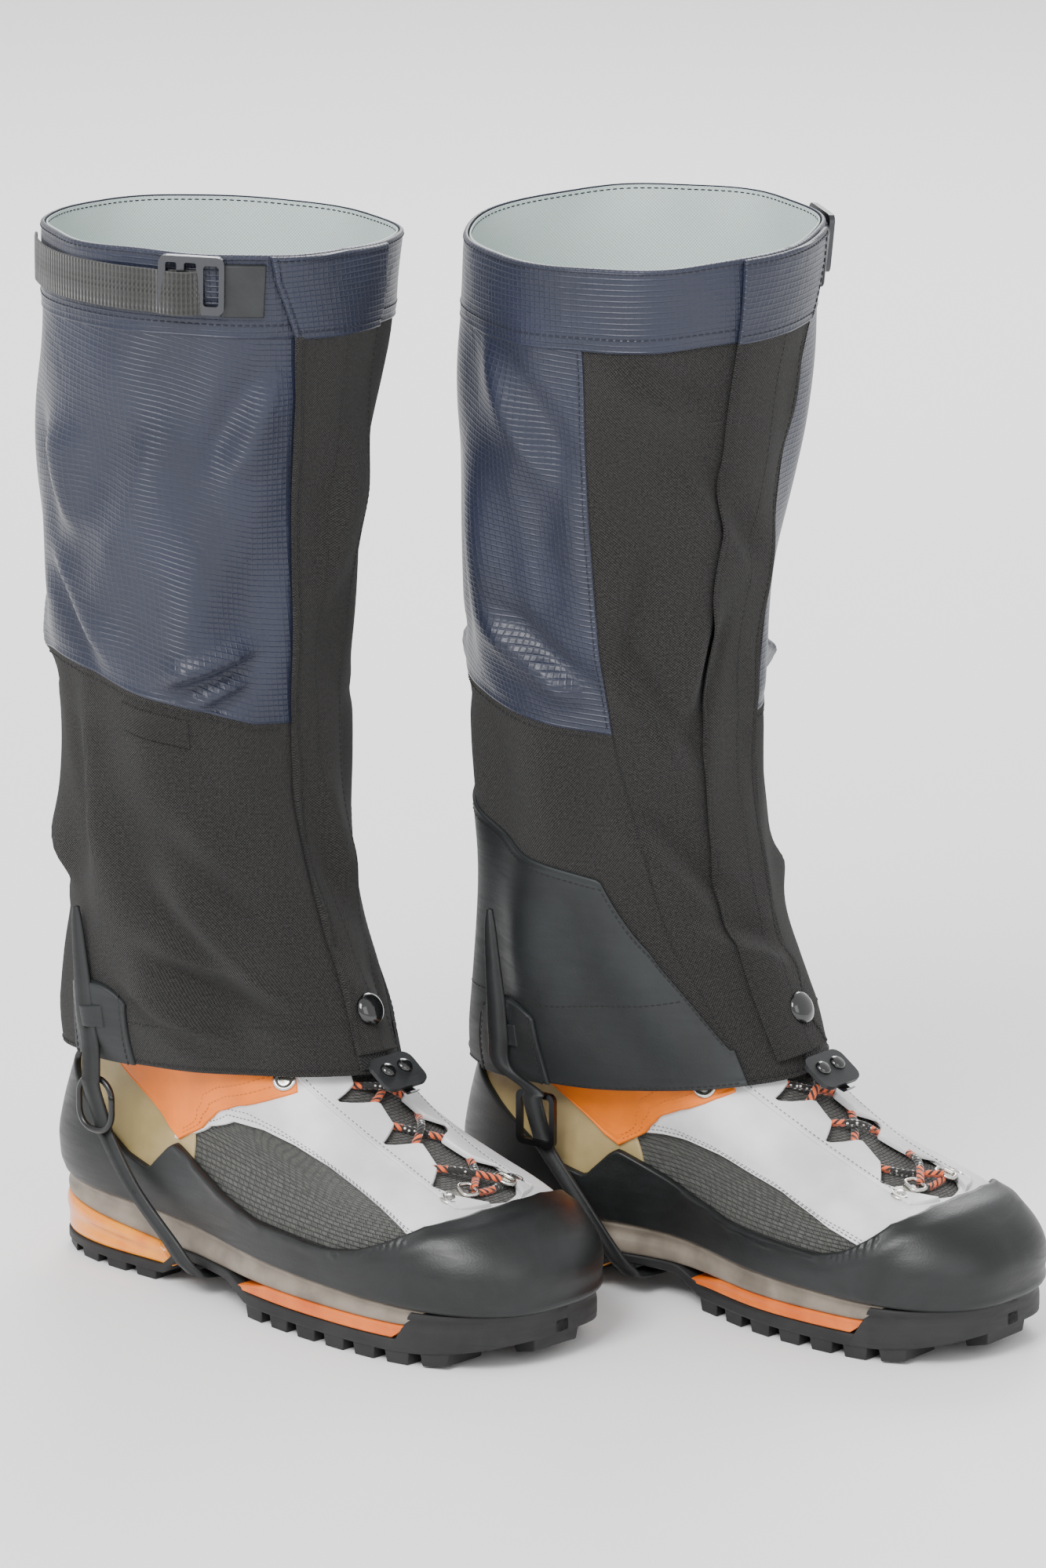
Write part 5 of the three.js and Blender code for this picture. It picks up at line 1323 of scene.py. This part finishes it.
def dress_node(name, material, bevel):
    """Gives a hard piece of the frame its material and rounded edges."""
    made = frame["nodes"][name]
    made.data.materials.clear()
    made.data.materials.append(material)
    round_edges(made, bevel)


# ---------------------------------------------------------------- stage
def build_stage():
    """Floor, sky light, three soft boxes and the camera."""
    floor_material = new_material("Pale floor", 0.75, **{"Base Color": (0.95, 0.95, 0.95, 1)})[0]
    mesh = bpy.data.meshes.new("floor")
    mesh.from_pydata([(-9, -9, 0), (9, -9, 0), (9, 9, 0), (-9, 9, 0)], [], [(0, 1, 2, 3)])
    mesh.materials.append(floor_material)
    floor = bpy.data.objects.new("floor", mesh)
    bpy.context.scene.collection.objects.link(floor)
    world_settings = bpy.data.worlds.new("Pale studio")
    world_settings.use_nodes = True
    sky = world_settings.node_tree.nodes["Background"]
    sky.inputs["Color"].default_value = (1, 1, 1, 1)
    sky.inputs["Strength"].default_value = 1.15
    bpy.context.scene.world = world_settings
    lights = [("key_softbox", (-2.2, -0.6, 2.4), 1.3, 105), ("fill_softbox", (-1.0, -3.0, 1.6), 2.0, 24),
              ("rim_softbox", (2.2, 1.6, 2.0), 1.4, 60)]
    for name, place, size, power in lights:
        data = bpy.data.lights.new(name, "AREA")
        data.energy, data.size = power, size
        lamp = bpy.data.objects.new(name, data)
        lamp.location = place
        lamp.rotation_mode = "QUATERNION"
        lamp.rotation_quaternion = (Vector((0, 0, 0.2)) - Vector(place)).to_track_quat("-Z", "Y")
        bpy.context.scene.collection.objects.link(lamp)
    data = bpy.data.cameras.new("camera")
    data.lens, data.sensor_width = 255.1, 36
    camera = bpy.data.objects.new("camera", data)
    camera.location = (-3.729, -3.167, 1.518)
    pitch = 0.255
    look = Vector((0.7615 * math.cos(pitch), 0.648 * math.cos(pitch), -math.sin(pitch)))
    camera.rotation_mode = "QUATERNION"
    camera.rotation_quaternion = look.to_track_quat("-Z", "Y")
    data.clip_end = 60
    bpy.context.scene.collection.objects.link(camera)
    bpy.context.scene.camera = camera


# ---------------------------------------------------------------- add-on
def both_boots(context, build):
    """Runs one builder for the right boot and for the left boot."""
    settings = context.scene.mountain_boots
    if not MATERIALS:
        MATERIALS.update(make_materials(settings))
    for seed, side in enumerate(SIDES):
        if side not in DRAPE:
            DRAPE[side] = drape_field(side, 11 + seed, settings.fold_depth)
        build(side, MATERIALS, settings)
    return {"FINISHED"}


class BootsSettings(bpy.types.PropertyGroup):
    """Colours and sizes of the pair."""

    leather: FloatVectorProperty(
        name="Leather", description="Colour of the smooth leather over the instep", subtype="COLOR", size=4,
        default=linear("#e2e2e3"), min=0, max=1)
    accent: FloatVectorProperty(
        name="Ankle leather", description="Colour of the orange ankle panels", subtype="COLOR", size=4,
        default=linear("#f47a06"), min=0, max=1)
    ripstop: FloatVectorProperty(
        name="Ripstop", description="Colour of the upper gaiter cloth", subtype="COLOR", size=4,
        default=linear("#151b30"), min=0, max=1)
    heavy_cloth: FloatVectorProperty(
        name="Heavy cloth", description="Colour of the black cloth's lighter threads", subtype="COLOR", size=4,
        default=linear("#3c3a38"), min=0, max=1)
    fold_depth: FloatProperty(
        name="Fold depth", description="Depth of the folds in the gaiters, as a share of the usual one",
        default=1.7, min=0, max=3, subtype="FACTOR")
    lace_radius: FloatProperty(
        name="Lace radius", description="Half the thickness of the lace", default=0.00175, min=0.001, max=0.003,
        unit="LENGTH", precision=5)


class BOOTS_OT_soles(bpy.types.Operator):
    """Outsole with its lugs, amber heel cushion, orange forefoot stripe and midsole"""

    bl_idname = "boots.soles"
    bl_label = "Soles"

    def execute(self, context):
        return both_boots(context, build_sole)


class BOOTS_OT_uppers(bpy.types.Operator):
    """Leather and mesh panels, rubber rand, tongue, liner and footbed"""

    bl_idname = "boots.uppers"
    bl_label = "Uppers"

    def execute(self, context):
        return both_boots(context, build_upper)


class BOOTS_OT_lacing(bpy.types.Operator):
    """Laces with their rings, rivets and eyelets"""

    bl_idname = "boots.lacing"
    bl_label = "Lacing"

    def execute(self, context):
        return both_boots(context, build_lacing)


class BOOTS_OT_gaiters(bpy.types.Operator):
    """Gaiter cloth with its folds, seams and blank tag"""

    bl_idname = "boots.gaiters"
    bl_label = "Gaiters"

    def execute(self, context):
        return both_boots(context, build_gaiter)


class BOOTS_OT_patches(bpy.types.Operator):
    """Kick guard, strap anchors with keepers, buckle catch and hook tape"""

    bl_idname = "boots.patches"
    bl_label = "Patches"

    def execute(self, context):
        return both_boots(context, build_patches)


class BOOTS_OT_flaps(bpy.types.Operator):
    """Front flaps with their hems, snaps and lace catches"""

    bl_idname = "boots.flaps"
    bl_label = "Front flaps"

    def execute(self, context):
        return both_boots(context, build_flap)


class BOOTS_OT_straps(bpy.types.Operator):
    """Top straps with buckles and foot straps with rings"""

    bl_idname = "boots.straps"
    bl_label = "Straps"

    def execute(self, context):
        return both_boots(context, build_straps)


class BOOTS_OT_stage(bpy.types.Operator):
    """Pale floor, soft light and camera"""

    bl_idname = "boots.stage"
    bl_label = "Stage"

    def execute(self, context):
        build_stage()
        return {"FINISHED"}


PIECE_OPERATORS = (BOOTS_OT_soles, BOOTS_OT_uppers, BOOTS_OT_lacing, BOOTS_OT_gaiters, BOOTS_OT_patches,
                   BOOTS_OT_flaps, BOOTS_OT_straps, BOOTS_OT_stage)


class BOOTS_PT_panel(bpy.types.Panel):
    """Buttons and settings in the sidebar"""

    bl_label = "Mountaineering boots"
    bl_space_type = "VIEW_3D"
    bl_region_type = "UI"
    bl_category = "Boots"

    def draw(self, context):
        settings = context.scene.mountain_boots
        for name in BootsSettings.__annotations__:
            self.layout.prop(settings, name)
        for operator in PIECE_OPERATORS:
            self.layout.operator(operator.bl_idname)


CLASSES = (BootsSettings, *PIECE_OPERATORS, BOOTS_PT_panel)


def register():
    for made in CLASSES:
        bpy.utils.register_class(made)
    bpy.types.Scene.mountain_boots = PointerProperty(type=BootsSettings)


def unregister():
    del bpy.types.Scene.mountain_boots
    for made in reversed(CLASSES):
        bpy.utils.unregister_class(made)


def main():
    register()
    bpy.ops.boots.soles()
    bpy.ops.boots.uppers()
    bpy.ops.boots.lacing()
    bpy.ops.boots.gaiters()
    bpy.ops.boots.patches()
    bpy.ops.boots.flaps()
    bpy.ops.boots.straps()
    bpy.ops.boots.stage()
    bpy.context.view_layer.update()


if __name__ == "__main__":
    main()
